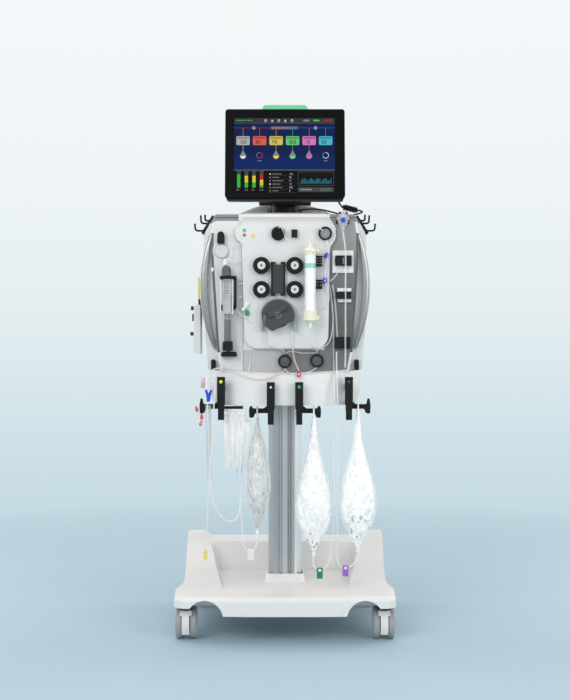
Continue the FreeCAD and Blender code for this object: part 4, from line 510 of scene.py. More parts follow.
def tube_mesh(name, line, radius, sides=10):
    """A round tube mesh along points in metres, with its two ends closed."""
    mesh = bpy.data.meshes.new(name)
    count = len(line)
    tangents = []
    for i in range(count):
        ahead = line[min(i + 1, count - 1)] - line[max(i - 1, 0)]
        tangents.append(ahead.normalized())
    side = tangents[0].orthogonal().normalized()
    verts = []
    for i in range(count):
        side = (side - tangents[i] * side.dot(tangents[i])).normalized()
        up = tangents[i].cross(side)
        for k in range(sides):
            a = 2 * math.pi * k / sides
            verts.append(line[i] + (side * math.cos(a) + up * math.sin(a)) * radius)
    mesh.from_pydata(verts, [], ring_faces(count, sides) + end_faces(count, sides))
    mesh.update()
    return bpy.data.objects.new(name, mesh)


def length_of(line):
    return sum((b - a).length for a, b in zip(line, line[1:]))


def tube_piece(name, points, diameter, body, material, sides=10):
    """A held tube along a smooth line through control points in millimetres."""
    line = spline_points(name + "_line", points)
    obj = tube_mesh(name, line, diameter / 2000.0, sides)
    return link(obj, body, material)


def lathe(name, profile, base, axis, body, material, sides=20):
    """A turned piece: (radius, distance along axis) pairs in millimetres from base."""
    axis = Vector(axis).normalized()
    u = axis.orthogonal().normalized()
    v = axis.cross(u)
    origin = Vector(base)
    verts = []
    for radius, height in profile:
        for k in range(sides):
            a = 2 * math.pi * k / sides
            verts.append(origin + axis * height + (u * math.cos(a) + v * math.sin(a)) * radius)
    rings = len(profile)
    faces = ring_faces(rings, sides) + end_faces(rings, sides)
    return bevelled(mesh_piece(name, verts, faces, body, material), 0.5)


def plate(name, outline, y0, y1, body, material, edge):
    """A plate with its outline (x, z) in the front plane between two depths."""
    count = len(outline)
    verts = [(x, y0, z) for x, z in outline] + [(x, y1, z) for x, z in outline]
    faces = [tuple(range(count)), tuple(range(2 * count - 1, count - 1, -1))]
    for i in range(count):
        n = (i + 1) % count
        faces.append((i, i + count, n + count, n))
    obj = mesh_piece(name, verts, faces, body, material)
    mesh = obj.data
    tool = bmesh.new()
    tool.from_mesh(mesh)
    bmesh.ops.recalc_face_normals(tool, faces=tool.faces)
    tool.to_mesh(mesh)
    tool.free()
    return bevelled(obj, edge) if edge else obj


def circle(cx, cz, r, count=28, start=0.0):
    angles = [start + 2 * math.pi * i / count for i in range(count)]
    return [(cx + r * math.cos(a), cz + r * math.sin(a)) for a in angles]


def rounded_box(x0, x1, z0, z1, r, steps=5):
    points = []
    for cx, cz, a0 in ((x1 - r, z0 + r, -90), (x1 - r, z1 - r, 0), (x0 + r, z1 - r, 90),
            (x0 + r, z0 + r, 180)):
        for i in range(steps + 1):
            a = math.radians(a0 + 90.0 * i / steps)
            points.append((cx + r * math.cos(a), cz + r * math.sin(a)))
    return points


# Camera, light and ground

CAMERA_BACK = 3630.0
CAMERA_HEIGHT = 855.0
SENSOR = 36.0
LENS = 59.25
FLOOR_NEAR = (0.440, 0.605, 0.705)
FLOOR_FAR = (0.500, 0.655, 0.745)


def set_stage():
    scene = bpy.context.scene
    camera = bpy.data.cameras.new("camera")
    camera.sensor_fit = "VERTICAL"
    camera.sensor_height = SENSOR
    camera.sensor_width = SENSOR
    camera.lens = LENS
    eye = bpy.data.objects.new("camera", camera)
    scene.collection.objects.link(eye)
    eye.location = mm(0, -CAMERA_BACK, CAMERA_HEIGHT)
    eye.rotation_euler = (math.radians(90), 0, 0)
    scene.camera = eye
    scene.view_settings.view_transform = "Standard"

    world = bpy.data.worlds.new("sky")
    scene.world = world
    world.use_nodes = True
    tree = world.node_tree
    back = tree.nodes["Background"]
    where = tree.nodes.new("ShaderNodeTexCoord")
    split = tree.nodes.new("ShaderNodeSeparateXYZ")
    tree.links.new(where.outputs["Generated"], split.inputs[0])
    height = remap(tree, split.outputs["Z"], -0.30, 0.70, 0.0, 1.0)
    sky = ramp(tree, height, (0.0, (0.46, 0.62, 0.72)), (0.13, (0.53, 0.67, 0.76)),
        (0.23, (0.63, 0.76, 0.81)), (0.335, (0.78, 0.855, 0.88)), (0.438, (0.855, 0.90, 0.935)),
        (0.59, (0.905, 0.94, 0.95)), (0.68, (0.60, 0.60, 0.60)), (1.0, (0.52, 0.52, 0.52)))
    tree.links.new(sky, back.inputs["Color"])

    def area(name, place, target, size, energy, tall=None):
        lamp = bpy.data.lights.new(name, "AREA")
        lamp.energy = energy
        lamp.color = (1.0, 0.94, 0.88)
        lamp.size = size
        if tall:
            lamp.shape = "RECTANGLE"
            lamp.size_y = tall
        holder = bpy.data.objects.new(name, lamp)
        scene.collection.objects.link(holder)
        holder.location = Vector(place)
        holder.rotation_euler = (Vector(target) - Vector(place)).to_track_quat("-Z", "Y").to_euler()
    area("key", (-1.7, -2.9, 2.5), (0, 0, 0.95), 1.6, 44, 1.8)
    area("fill", (2.1, -2.6, 1.7), (0, 0, 0.9), 1.4, 26, 1.8)
    area("top", (0, -0.1, 3.3), (0, 0, 0.9), 2.2, 16)
    area("rim_left", (-2.2, 0.9, 1.5), (0, 0, 0.9), 0.5, 14, 2.0)
    area("rim_right", (2.2, 0.9, 1.5), (0, 0, 0.9), 0.5, 14, 2.0)

    ground = bpy.data.meshes.new("floor")
    reach = 3.0
    ring = [(reach * math.cos(2 * math.pi * i / 96), reach * math.sin(2 * math.pi * i / 96), 0)
        for i in range(96)]
    ground.from_pydata(ring, [], [tuple(range(96))])
    floor = bpy.data.objects.new("floor", ground)
    scene.collection.objects.link(floor)
    material, tree, bsdf = shader("floor_paint")
    settings(bsdf, rough=0.6, spec=0.15)
    radius = tree.nodes.new("ShaderNodeVectorMath")
    radius.operation = "LENGTH"
    tree.links.new(coords(tree), radius.inputs[0])
    far = remap(tree, radius.outputs["Value"], 0.6, 2.2, 0.0, 1.0)
    feed(bsdf, "Base Color", mixed(tree, far, FLOOR_NEAR, FLOOR_FAR))
    feed(bsdf, "Alpha", remap(tree, radius.outputs["Value"], 0.8, 2.9, 1.0, 0.0))
    bump(tree, bsdf, grain(tree, 220.0, 2.0), 0.02, 0.0005)
    ground.materials.append(material)


# Free lines

ACCESS_LINE = [(-185, -182, 802), (-206, -184, 801), (-226, -189, 790), (-234, -197, 768),
    (-232, -205, 735), (-230, -210, 695), (-229, -212, 650), (-227, -211, 600), (-225, -209, 550),
    (-225, -207, 500), (-227, -206, 450), (-229, -204, 400), (-231, -203, 350), (-234, -202, 300),
    (-237, -202, 258)]
LOOP_LINE = [(-209, -196, 792), (-207.5, -206, 765), (-208.5, -214, 732), (-210.5, -219, 692),
    (-213, -220.5, 650), (-215, -220, 602), (-218, -219, 550), (-222, -217.5, 495), (-222, -217, 445),
    (-212, -216, 398), (-192, -214, 360), (-166, -213, 343), (-144, -210, 352), (-133, -202, 383),
    (-130, -187, 425), (-129, -166, 468), (-131, -150, 515), (-131, -143, 570), (-130, -141, 630),
    (-131, -142, 690)]
LINE_2 = [(-82.7, -178, 301.8), (-83, -178, 290), (-84, -178, 276), (-88, -178, 263), (-96, -178, 254),
    (-108, -178, 251), (-118, -178.5, 256), (-123.5, -179, 268), (-126, -180, 288), (-129, -179, 325),
    (-132, -174, 370), (-137, -166, 415), (-142, -156, 462), (-146, -149, 515), (-147, -146, 575),
    (-146, -145, 635), (-147, -146, 690)]
LINE_3 = [(86, -178, 237.6), (84.5, -178, 226), (84.5, -178, 213), (89.5, -178, 202), (99, -178, 196),
    (111, -178, 196.5), (122, -178.5, 203), (130, -180, 216), (135, -184, 238), (140, -190, 275),
    (145, -198, 330), (147.5, -205, 390), (147, -208, 450), (145.5, -211, 510), (145.5, -213, 570),
    (145, -216, 630), (146, -217, 690), (146.5, -211, 742), (146, -190, 786)]
LINE_4 = [(218, -178, 249.6), (217.3, -178, 238), (213.5, -178, 224), (205, -178, 212.5),
    (193, -178, 205.5), (180, -178, 202.5), (168, -178.5, 205), (160, -180, 214), (156, -184, 230),
    (155, -190, 262), (156, -197, 315), (155.5, -203, 375), (156.5, -208, 435), (156, -211, 495),
    (156.5, -214, 555), (155.5, -217, 620), (156, -218, 685), (155.5, -213, 742), (154, -197, 786),
    (153.5, -191, 820), (154, -188.5, 850)]
NECK_LEAD = [(46, -12, 1294), (76, -23, 1297), (108, -36, 1294), (138, -49, 1286), (164, -57, 1277.5)]
LEAD_LOW = [(180, -45, 1275), (182, -36, 1275), (191, -30, 1275), (206, -28, 1276), (222, -29, 1279),
    (235, -35, 1282), (241, -44, 1284.5), (238, -54, 1286.2), (227.4, -57, 1286.6)]
LEAD_RISE = [(175.5, -57, 1300.5), (169, -56.5, 1310), (160, -53, 1324), (143, -46, 1333), (118, -40, 1331),
    (90, -40, 1322), (64, -47, 1313), (47, -51.5, 1309.5), (33.4, -52, 1308.8)]
CURL_START = Vector((226.0, -57.0, 1287.0))
CURL_END = Vector((178.0, -57.0, 1299.0))
CURL_TURNS = 8.5
CURL_RADIUS = 7.4
LEAD_D = 5.0
BAG_LINE_D = 5.0
POINTS_A_TURN = 14


def free_line(name, points, diameter, material, nodes, bend=None):
    """A line: a tube mesh on a smooth spline, riding the machine, or baked in place with no body when bend
    is given.
    """
    line = spline_points(name + "_line", points)
    obj = tube_mesh(name, line, diameter / 2000.0, 12)
    link(obj, None if bend else "root", material)
    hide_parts(*nodes)
    tuple(line[0])
    round(length_of(line), 3)
    if bend:
        first, second, start, end = bend
        mm(*start)
        mm(*end)
        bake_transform(obj)


def build_lines():
    end = ACCESS_LINE[-1]
    plug = lathe("access_connector", [(3.2, 0), (5.2, -1), (5.2, -9), (4.2, -12), (5.6, -16), (5.6, -21),
        (3.4, -23), (3.2, -29), (2.0, -30)], end, (0, 0, 1), "root", YELLOW)
    wings = plate("connector_wings", [(end[0] - 8, end[2] - 21), (end[0] + 8, end[2] - 21),
        (end[0] + 6, end[2] - 14), (end[0] - 6, end[2] - 14)], end[1] - 1.2, end[1] + 1.2, "root", YELLOW,
        0.5)
    free_line("access_line_tube", ACCESS_LINE, BAG_LINE_D, TUBE_WHITE, ["access_line"])
    free_line("loop_line_tube", LOOP_LINE, BAG_LINE_D, TUBE_WHITE, ["bag_lines"])
    for number, points, high in ((2, LINE_2, 600), (3, LINE_3, 560), (4, LINE_4, 560)):
        start = points[0]
        free_line("bag_line_%d_tube" % number, points, BAG_LINE_D, TUBE_WHITE,
            ["bag_lines"], bend=("scale_%d" % number, "root", (start[0], start[1], 330),
            (start[0], start[1], high)))
    free_line("neck_lead_tube", NECK_LEAD, LEAD_D, RUBBER, ["monitor_cord"])
    along = CURL_END - CURL_START
    span = along.length
    axis = along.normalized()
    u = Vector((0, 1, 0))
    v = axis.cross(u)
    count = int(CURL_TURNS * POINTS_A_TURN)
    helix = []
    for i in range(count + 1):
        t = i / count
        a = 2 * math.pi * CURL_TURNS * t - math.pi / 2
        swell = min(1.0, 6 * t + 0.25, 6 * (1 - t) + 0.25)
        radius = CURL_RADIUS * swell
        helix.append(tuple(CURL_START + axis * (span * t) + (u * math.cos(a) + v * math.sin(a)) * radius))
    points = LEAD_LOW[:-1] + helix + LEAD_RISE[1:]
    free_line("curly_lead_tube", points, LEAD_D, RUBBER, ["monitor_cord",
        "monitor_cord_coil"], bend=("root", "display_yoke", (170, -57, 1303), (70, -45, 1316)))


# Display

LEAN = math.radians(7.0)
FRONT_Y = -150.0
BOTTOM_Z = 1315.0
SCREEN_LEFT = -157.0
SCREEN_RIGHT = 153.0
SCREEN_LOW = 12.0
SCREEN_HIGH = 251.0


def on_screen(u, v, lift):
    """A display point: u and v in millimetres from the picture's lower left corner."""
    x = SCREEN_LEFT + u
    y = 1.2 - lift
    z = SCREEN_LOW + v
    lean_cos, lean_sin = math.cos(LEAN), math.sin(LEAN)
    return (x, FRONT_Y + y * lean_cos + z * lean_sin, BOTTOM_Z - y * lean_sin + z * lean_cos)


class Picture:
    """Flat shapes of the display picture, in layers a hair apart."""

    def __init__(self):
        self.verts = []
        self.faces = []
        self.marks = []
        self.colors = []

    def index(self, color):
        if color not in self.colors:
            self.colors.append(color)
        return self.colors.index(color)

    def shape(self, points, layer, color):
        first = len(self.verts)
        for u, v in points:
            self.verts.append(on_screen(u, v, 0.05 + 0.05 * layer))
        self.faces.append(tuple(range(first, first + len(points))))
        self.marks.append(self.index(color))

    def bar(self, u0, u1, v0, v1, layer, color):
        self.shape([(u0, v0), (u1, v0), (u1, v1), (u0, v1)], layer, color)

    def disc(self, u, v, r, layer, color, count=20):
        self.shape(circle(u, v, r, count), layer, color)

    def tile(self, u0, u1, v0, v1, r, layer, color):
        self.shape(rounded_box(u0, u1, v0, v1, r, 3), layer, color)

    def ring(self, u, v, r, width, layer, color, a0=0.0, a1=360.0):
        steps = max(6, int(abs(a1 - a0) / 15))
        for i in range(steps):
            b0 = math.radians(a0 + (a1 - a0) * i / steps)
            b1 = math.radians(a0 + (a1 - a0) * (i + 1) / steps)
            corners = ((r, b0), (r + width, b0), (r + width, b1), (r, b1))
            self.shape([(u + c * math.cos(b), v + c * math.sin(b)) for c, b in corners], layer, color)

    def number(self, text, u, v, high, layer, color):
        """Seven-segment figures."""
        wide = high * 0.5
        thick = high * 0.14
        segments = {"0": "abcdef", "1": "bc", "2": "abged", "3": "abgcd", "4": "fgbc", "5": "afgcd",
            "6": "afgedc", "7": "abc", "8": "abcdefg", "9": "abcdfg"}
        for digit in text:
            mid = v + high / 2
            places = {"a": (u, u + wide, v + high - thick, v + high), "d": (u, u + wide, v, v + thick),
                "g": (u, u + wide, mid - thick / 2, mid + thick / 2), "f": (u, u + thick, mid, v + high),
                "e": (u, u + thick, v, mid), "b": (u + wide - thick, u + wide, mid, v + high),
                "c": (u + wide - thick, u + wide, v, mid)}
            for key in segments.get(digit, ""):
                self.bar(*places[key], layer, color)
            u += wide * 1.45


def build_screen():
    picture = Picture()
    bar, tile, disc, ring = picture.bar, picture.tile, picture.disc, picture.ring
    shape, number = picture.shape, picture.number
    black = (0.004, 0.004, 0.005)
    bar_grey = (0.035, 0.037, 0.04)
    blue = (0.004, 0.014, 0.075)
    blue_low = (0.004, 0.02, 0.11)
    white = (0.75, 0.78, 0.80)
    grey = (0.22, 0.23, 0.24)
    dim = (0.10, 0.105, 0.11)
    red = (0.65, 0.02, 0.03)
    line_red = (0.30, 0.01, 0.04)
    line_blue = (0.02, 0.12, 0.42)
    green = (0.03, 0.60, 0.06)
    yellow = (0.85, 0.70, 0.05)
    width = SCREEN_RIGHT - SCREEN_LEFT
    tall = SCREEN_HIGH - SCREEN_LOW
    bar(0, width, 0, tall, 0, black)
    bar(2, width - 2, tall - 19, tall - 2, 1, bar_grey)
    bar(2, width - 2, tall - 19, tall - 17.6, 2, dim)
    u = 8
    for wide in (22, 8, 14):
        bar(u, u + wide, tall - 11, tall - 8, 2, (0.04, 0.34, 0.08))
        u += wide + 2.5
    for i in range(5):
        u = 98 + 20 * i
        if i % 2:
            shape([(u - 3.5, tall - 13), (u + 3.5, tall - 13), (u, tall - 6)], 2, white)
        else:
            ring(u, tall - 9.5, 2.2, 1.4, 2, white)
        bar(u - 4, u + 4, tall - 16.4, tall - 15.4, 2, grey)
    for u, end, tone in ((212, 232, grey), (243, 262, green), (276, 300, (0.40, 0.02, 0.02))):
        tile(u, end, tall - 12.5, tall - 7, 2.5, 2, tone)
    bar(2, width - 2, 76, tall - 20, 1, blue)
    bar(2, width - 2, 76, 118, 2, blue_low)
    line_v = tall - 33
    bar(2, 112, line_v - 0.8, line_v + 0.8, 2, line_red)
    bar(198, width - 2, line_v - 0.8, line_v + 0.8, 2, line_blue)
    tile(112, 198, line_v - 5, line_v + 5, 5, 2, dim)
    for i in range(9):
        share = i / 8
        tone = (0.55 * (1 - share) + 0.05 * share, 0.16, 0.10 * (1 - share) + 0.45 * share)
        bar(118 + 8.4 * i, 124 + 8.4 * i, line_v - 2.8, line_v + 2.8, 3, tone)
    for u, tone in ((62, line_red), (250, line_blue)):
        disc(u, line_v, 4.6, 3, tone)
        ring(u, line_v, 3.4, 1.2, 4, white)
    tones = [(0.42, 0.42, 0.42), (0.72, 0.10, 0.08), (0.62, 0.50, 0.08), (0.12, 0.55, 0.16),
        (0.62, 0.18, 0.46), (0.06, 0.46, 0.56)]
    values = ["120", "85", "40", "300", "15", "60"]
    for i, tone in enumerate(tones):
        u = 9 + 50.2 * i
        bar(u + 20, u + 21.2, 178, line_v, 2, shade(tone, 0.7))
        tile(u, u + 41, 152, 180, 4, 3, tone)
        tile(u + 3, u + 38, 171.5, 177, 2, 4, shade(tone, 0.55))
        number(values[i], u + 9, 156.5, 11, 4, (0.02, 0.02, 0.03))
    drops = [(0, (0.80, 0.82, 0.84)), (2, yellow), (3, (0.10, 0.75, 0.16)), (4, (0.80, 0.10, 0.65))]
    for i, tone in drops:
        u = 29.5 + 50.2 * i
        outline = circle(u, 118, 9.5, 24, math.pi / 2)
        outline[0] = (u, 137)
        outline[1] = (u - 4.6, 128.5)
        outline[-1] = (u + 4.6, 128.5)
        shape(outline, 3, grey)
        level = [(p, q) for p, q in circle(u, 118, 8.0, 24, math.pi) if q <= 119.5]
        shape(level, 4, tone)
        bar(u - 0.6, u + 0.6, 137, 152, 2, shade(tone, 0.6))
    for i in (1, 5):
        u = 29.5 + 50.2 * i
        ring(u, 120, 8.0, 1.6, 3, grey)
        ring(u, 120, 8.0, 1.6, 4, white if i == 5 else red, 90, 90 - 240)
        bar(u - 6, u + 6, 102, 104, 3, grey)
    bar(2, width - 2, 73.5, 75, 1, grey)
    fills = [(0.9, green, green), (0.8, green, yellow), (0.78, green, yellow), (0.86, yellow, red)]
    for i, (share, low, high) in enumerate(fills):
        u = 12 + 23 * i
        for k in range(11):
            lit = k / 11.0 < share
            tone = low if k < 4 else high
            if i == 3:
                tone = green if k < 2 else (yellow if k < 6 else red)
            bar(u, u + 10, 20 + 4.1 * k, 23.2 + 4.1 * k, 2, tone if lit else dim)
        number(("60", "120", "85", "210")[i], u - 1, 10, 5.5, 2, grey)
        bar(u - 2, u + 12, 68, 69.5, 2, grey)
    for row in range(6):
        v = 62 - 10.5 * row
        disc(112, v, 2.2, 2, white if row in (0, 3) else grey, 12)
        bar(119, 119 + (28, 20, 33, 24, 30, 18)[row], v - 1, v + 1, 2, grey)
        number(("140", "90", "37", "12", "250", "8")[row], 170, v - 2.4, 5, 2, (0.45, 0.47, 0.48))
        bar(106, 188, v - 5.4, v - 5.0, 1, dim)
    tile(196, width - 5, 26, 69, 3, 1, dim)
    tile(197, width - 6, 27, 68, 3, 2, (0.006, 0.006, 0.007))
    for k in range(26):
        high = 4 + 9 * abs(math.sin(k * 0.55)) + 5 * abs(math.sin(k * 1.3))
        bar(203 + 3.7 * k, 205 + 3.7 * k, 32, 32 + high, 3, (0.02, 0.20, 0.24))
    tile(196, width - 5, 6, 21, 3, 1, (0.055, 0.058, 0.06))
    tile(202, 238, 11, 16, 2, 2, grey)
    tile(262, 296, 9, 18, 3, 2, dim)
    materials = []
    for i, tint in enumerate(picture.colors):
        material, _, bsdf = shader("picture_%02d" % i)
        settings(bsdf, color=(0.004, 0.004, 0.004), rough=0.5, spec=0.02, glow=1.0, glow_color=tint)
        materials.append(material)
    mesh_piece("screen_picture", picture.verts, picture.faces, "display", materials, False,
        picture.marks)


# Bags

# Rows of a bag's belly: share of its fall, share of its half width, and half depth in millimetres
SLIM_BELLY = [(0.05, 0.14, 34), (0.15, 0.36, 50), (0.27, 0.68, 72), (0.47, 0.96, 86), (0.64, 1.0, 90),
    (0.78, 0.86, 76), (0.90, 0.50, 46)]
FULL_BELLY = [(0.05, 0.16, 34), (0.16, 0.20, 48), (0.24, 0.30, 60), (0.36, 0.52, 74), (0.54, 0.87, 87),
    (0.71, 1.0, 90), (0.82, 0.82, 74), (0.92, 0.42, 42)]
RIM_SHARE = 0.84
BAG_PLANE = -178.0


def bag_sections(top, low, half, belly):
    fall = top - low
    return ([(top, 4, 26)] + [(top - share * fall, width * half, depth) for share, width, depth in belly]
        + [(low + 4, 8, 13), (low, 5, 7)])


def section_at(sections, z):
    """The two measures at a height, between the rows (height, first, second)."""
    for (z0, a0, b0), (z1, a1, b1) in zip(sections, sections[1:]):
        if min(z0, z1) <= z <= max(z0, z1):
            t = (z - z0) / (z1 - z0)
            return a0 + (a1 - a0) * t, b0 + (b1 - b0) * t
    return sections[-1][1:]


def smooth_section(sections, z, reach):
    total_a = total_b = 0.0
    for k in range(-3, 4):
        a, b = section_at(sections, max(sections[-1][0], min(sections[0][0], z + reach * k / 3)))
        total_a += a
        total_b += b
    return total_a / 7, total_b / 7


def solution_bag(number, x, hook_z, top, low, half, belly, material, seed):
    """A hanging film bag: gathered neck, crumpled belly, sealed rim and a loop over its hook."""
    body = "scale_%d" % number
    sections = bag_sections(top, low, half, belly)
    rings = 110
    sides = 84
    verts = []
    shift = Vector((seed * 3.7, seed * 1.9, seed * 5.1))
    for i in range(rings + 1):
        z = top + (low - top) * i / rings
        a, b = smooth_section(sections, z, 0.04 * (top - low))
        calm = max(0.0, min(1.0, (top - z) / 26.0, (z - low) / 34.0))
        drift = 2.4 * noise.noise(Vector((seed * 2.3, z * 0.018, 0.4))) * calm
        for k in range(sides):
            t = 2 * math.pi * k / sides
            c, s = math.cos(t), math.sin(t)
            wide = a * (abs(c) ** 0.9) * (1 if c > 0 else -1)
            deep = b * 0.80 * (abs(s) ** 1.2) * (1 if s > 0 else -1)
            place = Vector((wide, deep, z)) + shift * 100
            facet = noise.voronoi(Vector((place.x * 0.050, place.y * 0.050, place.z * 0.026)))[0]
            small = noise.voronoi(Vector((place.x * 0.095, place.y * 0.095, place.z * 0.050)))[0]
            pleat = math.sin(5.0 * t + 0.035 * z + seed) * max(0.0, 1.0 - (top - z) / (0.42 * (top - low)))
            amount = 9.0 * (facet[1] - facet[0] - 0.35) + 4.2 * (small[1] - small[0] - 0.35) + 2.0 * pleat
            amount *= calm * (0.25 + 0.75 * abs(s))
            out = 1.0 + amount / max(20.0, abs(wide) + abs(deep))
            verts.append((x + drift * 0.4 + wide * min(out, 1.02), BAG_PLANE + deep * min(out, 1.16), z))
    faces = ring_faces(rings + 1, sides)
    rim = [1 if abs(math.cos(2 * math.pi * (k + 0.5) / sides)) > RIM_SHARE else 0 for k in range(sides)]
    marks = rim * rings + [0, 0]
    faces.append(tuple(range(sides)))
    faces.append(tuple(rings * sides + k for k in range(sides - 1, -1, -1)))
    bag = mesh_piece("bag_%d_film" % number, verts, faces, body, [material, RIM_FILM], True,
        marks)
    soften = bag.modifiers.new("smooth", "SUBSURF")
    soften.levels = 1
    soften.render_levels = 1
    seat = hook_z + 3.3
    loop = [(x, -200, top - 2), (x, -199, hook_z - 8), (x, -193, seat + 2), (x, BAG_PLANE, seat + 4.5),
        (x, -163, seat + 2), (x, -157, hook_z - 8), (x, -156, top - 2)]
    tab = tube_piece("bag_%d_loop" % number, loop, 5.0, body, material)
    port = lathe("bag_%d_port" % number, [(4.2, 0), (5.6, -3), (4.6, -6), (4.6, -16), (6.0, -18),
        (6.0, -22), (3.4, -24)], (x, BAG_PLANE, low + 4), (0, 0, 1), body, WHITE_CAP)
    for piece in (bag, tab, port):
        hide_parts("bag_%d" % number)


def hang_tag(number, x, bore_z, material):
    """A flat pinch clamp with a slot, hanging on its line."""
    body = "scale_%d" % number
    outline = rounded_box(x - 9, x + 9, bore_z - 26, bore_z + 7, 3)
    tag = plate("tag_%d" % number, outline, -183.0, -173.0, body, material, 0.8)
    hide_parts("bag_%d" % number)
    slot_outline = rounded_box(x - 4.6, x + 4.6, bore_z - 4.6, bore_z + 3.4, 2.6)
    plate("tag_%d_slot" % number, slot_outline, -183.3, -182.6, body, WHITE_CAP, 0)
    for k in range(3):
        z = bore_z - 21 + 4.6 * k
        plate("tag_%d_rib_%d" % (number, k), rounded_box(x - 6.5, x + 6.5, z, z + 1.8, 0.8), -183.7, -182.8,
            body, material, 0)


# Rows of the folded film: height, left edge and right edge
SHEET_LOW = 500.0
SHEET_HIGH = 662.0
SHEET_SIDE = [(500.0, -177.0, -125.5), (558.0, -181.0, -114.5), (612.0, -184.0, -101.5),
    (638.0, -185.0, -101.5), (648.0, -185.0, -114.5), (662.0, -181.0, -118.0)]


def effluent_sheet():
    """Folded collecting bag: a fan of slanting film pleats, gathered under its clip."""
    columns = 84
    rows = 44
    verts = []
    for layer, depth in ((0, -10.0), (1, 9.0)):
        for i in range(rows + 1):
            z = SHEET_LOW + (SHEET_HIGH - SHEET_LOW) * i / rows
            left, right = section_at(SHEET_SIDE, z)
            for k in range(columns + 1):
                t = k / columns
                x = left + t * (right - left)
                lean = t * 9 * math.pi + layer * 1.7 + 0.022 * (z - SHEET_LOW)
                fold = 3.2 * math.asin(math.sin(lean + 0.7 * math.sin(z * 0.02)))
                wrinkle = 2.2 * noise.noise(Vector((x * 0.06, layer * 9.0, z * 0.02)))
                sag = 3.0 * math.sin(t * math.pi) if i == 0 else 0.0
                y = max(-193.0, min(-164.0, BAG_PLANE + depth + fold + wrinkle))
                verts.append((x, y, z + sag))
    faces = []
    wide = columns + 1
    half = (rows + 1) * wide
    for layer in range(2):
        for i in range(rows):
            for k in range(columns):
                a = layer * half + i * wide + k
                quad = (a, a + 1, a + 1 + wide, a + wide)
                faces.append(quad if layer == 0 else tuple(reversed(quad)))
    for i in range(rows):
        a = i * wide
        faces.append((a, a + wide, half + a + wide, half + a))
        b = a + columns
        faces.append((b, half + b, half + b + wide, b + wide))
    for k in range(columns):
        faces.append((k, half + k, half + k + 1, k + 1))
        top = rows * wide + k
        faces.append((top, top + 1, half + top + 1, half + top))
    sheet = mesh_piece("effluent_film", verts, faces, "scale_1", SHEET_FILM)
    clip = plate("effluent_clip", rounded_box(-179, -116, 670.7, 678.6, 2), -186, -170, "scale_1",
        WHITE_CAP, 1.0)
    neck = plate("effluent_neck", rounded_box(-176, -118, 660, 671.5, 2), -184, -172, "scale_1", SHEET_FILM,
        1.5)
    for piece in (sheet, clip, neck):
        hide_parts("effluent_bag")


def build_bags():
    solution_bag(2, -82.7, 677.0, 652, 322, 40.5, SLIM_BELLY, SLIM_FILM, 1)
    solution_bag(3, 86.0, 677.0, 655, 258, 59.5, FULL_BELLY, BAG_FILM, 2)
    solution_bag(4, 218.0, 690.0, 662, 268, 59.5, FULL_BELLY, BAG_FILM, 5)
    hang_tag(2, -102.5, 252.3, WHITE_CAP)
    hang_tag(3, 104.0, 196.2, GREEN_CAP)
    hang_tag(4, 181.0, 203.0, PURPLE_CAP)
    effluent_sheet()


# Front lines and fittings

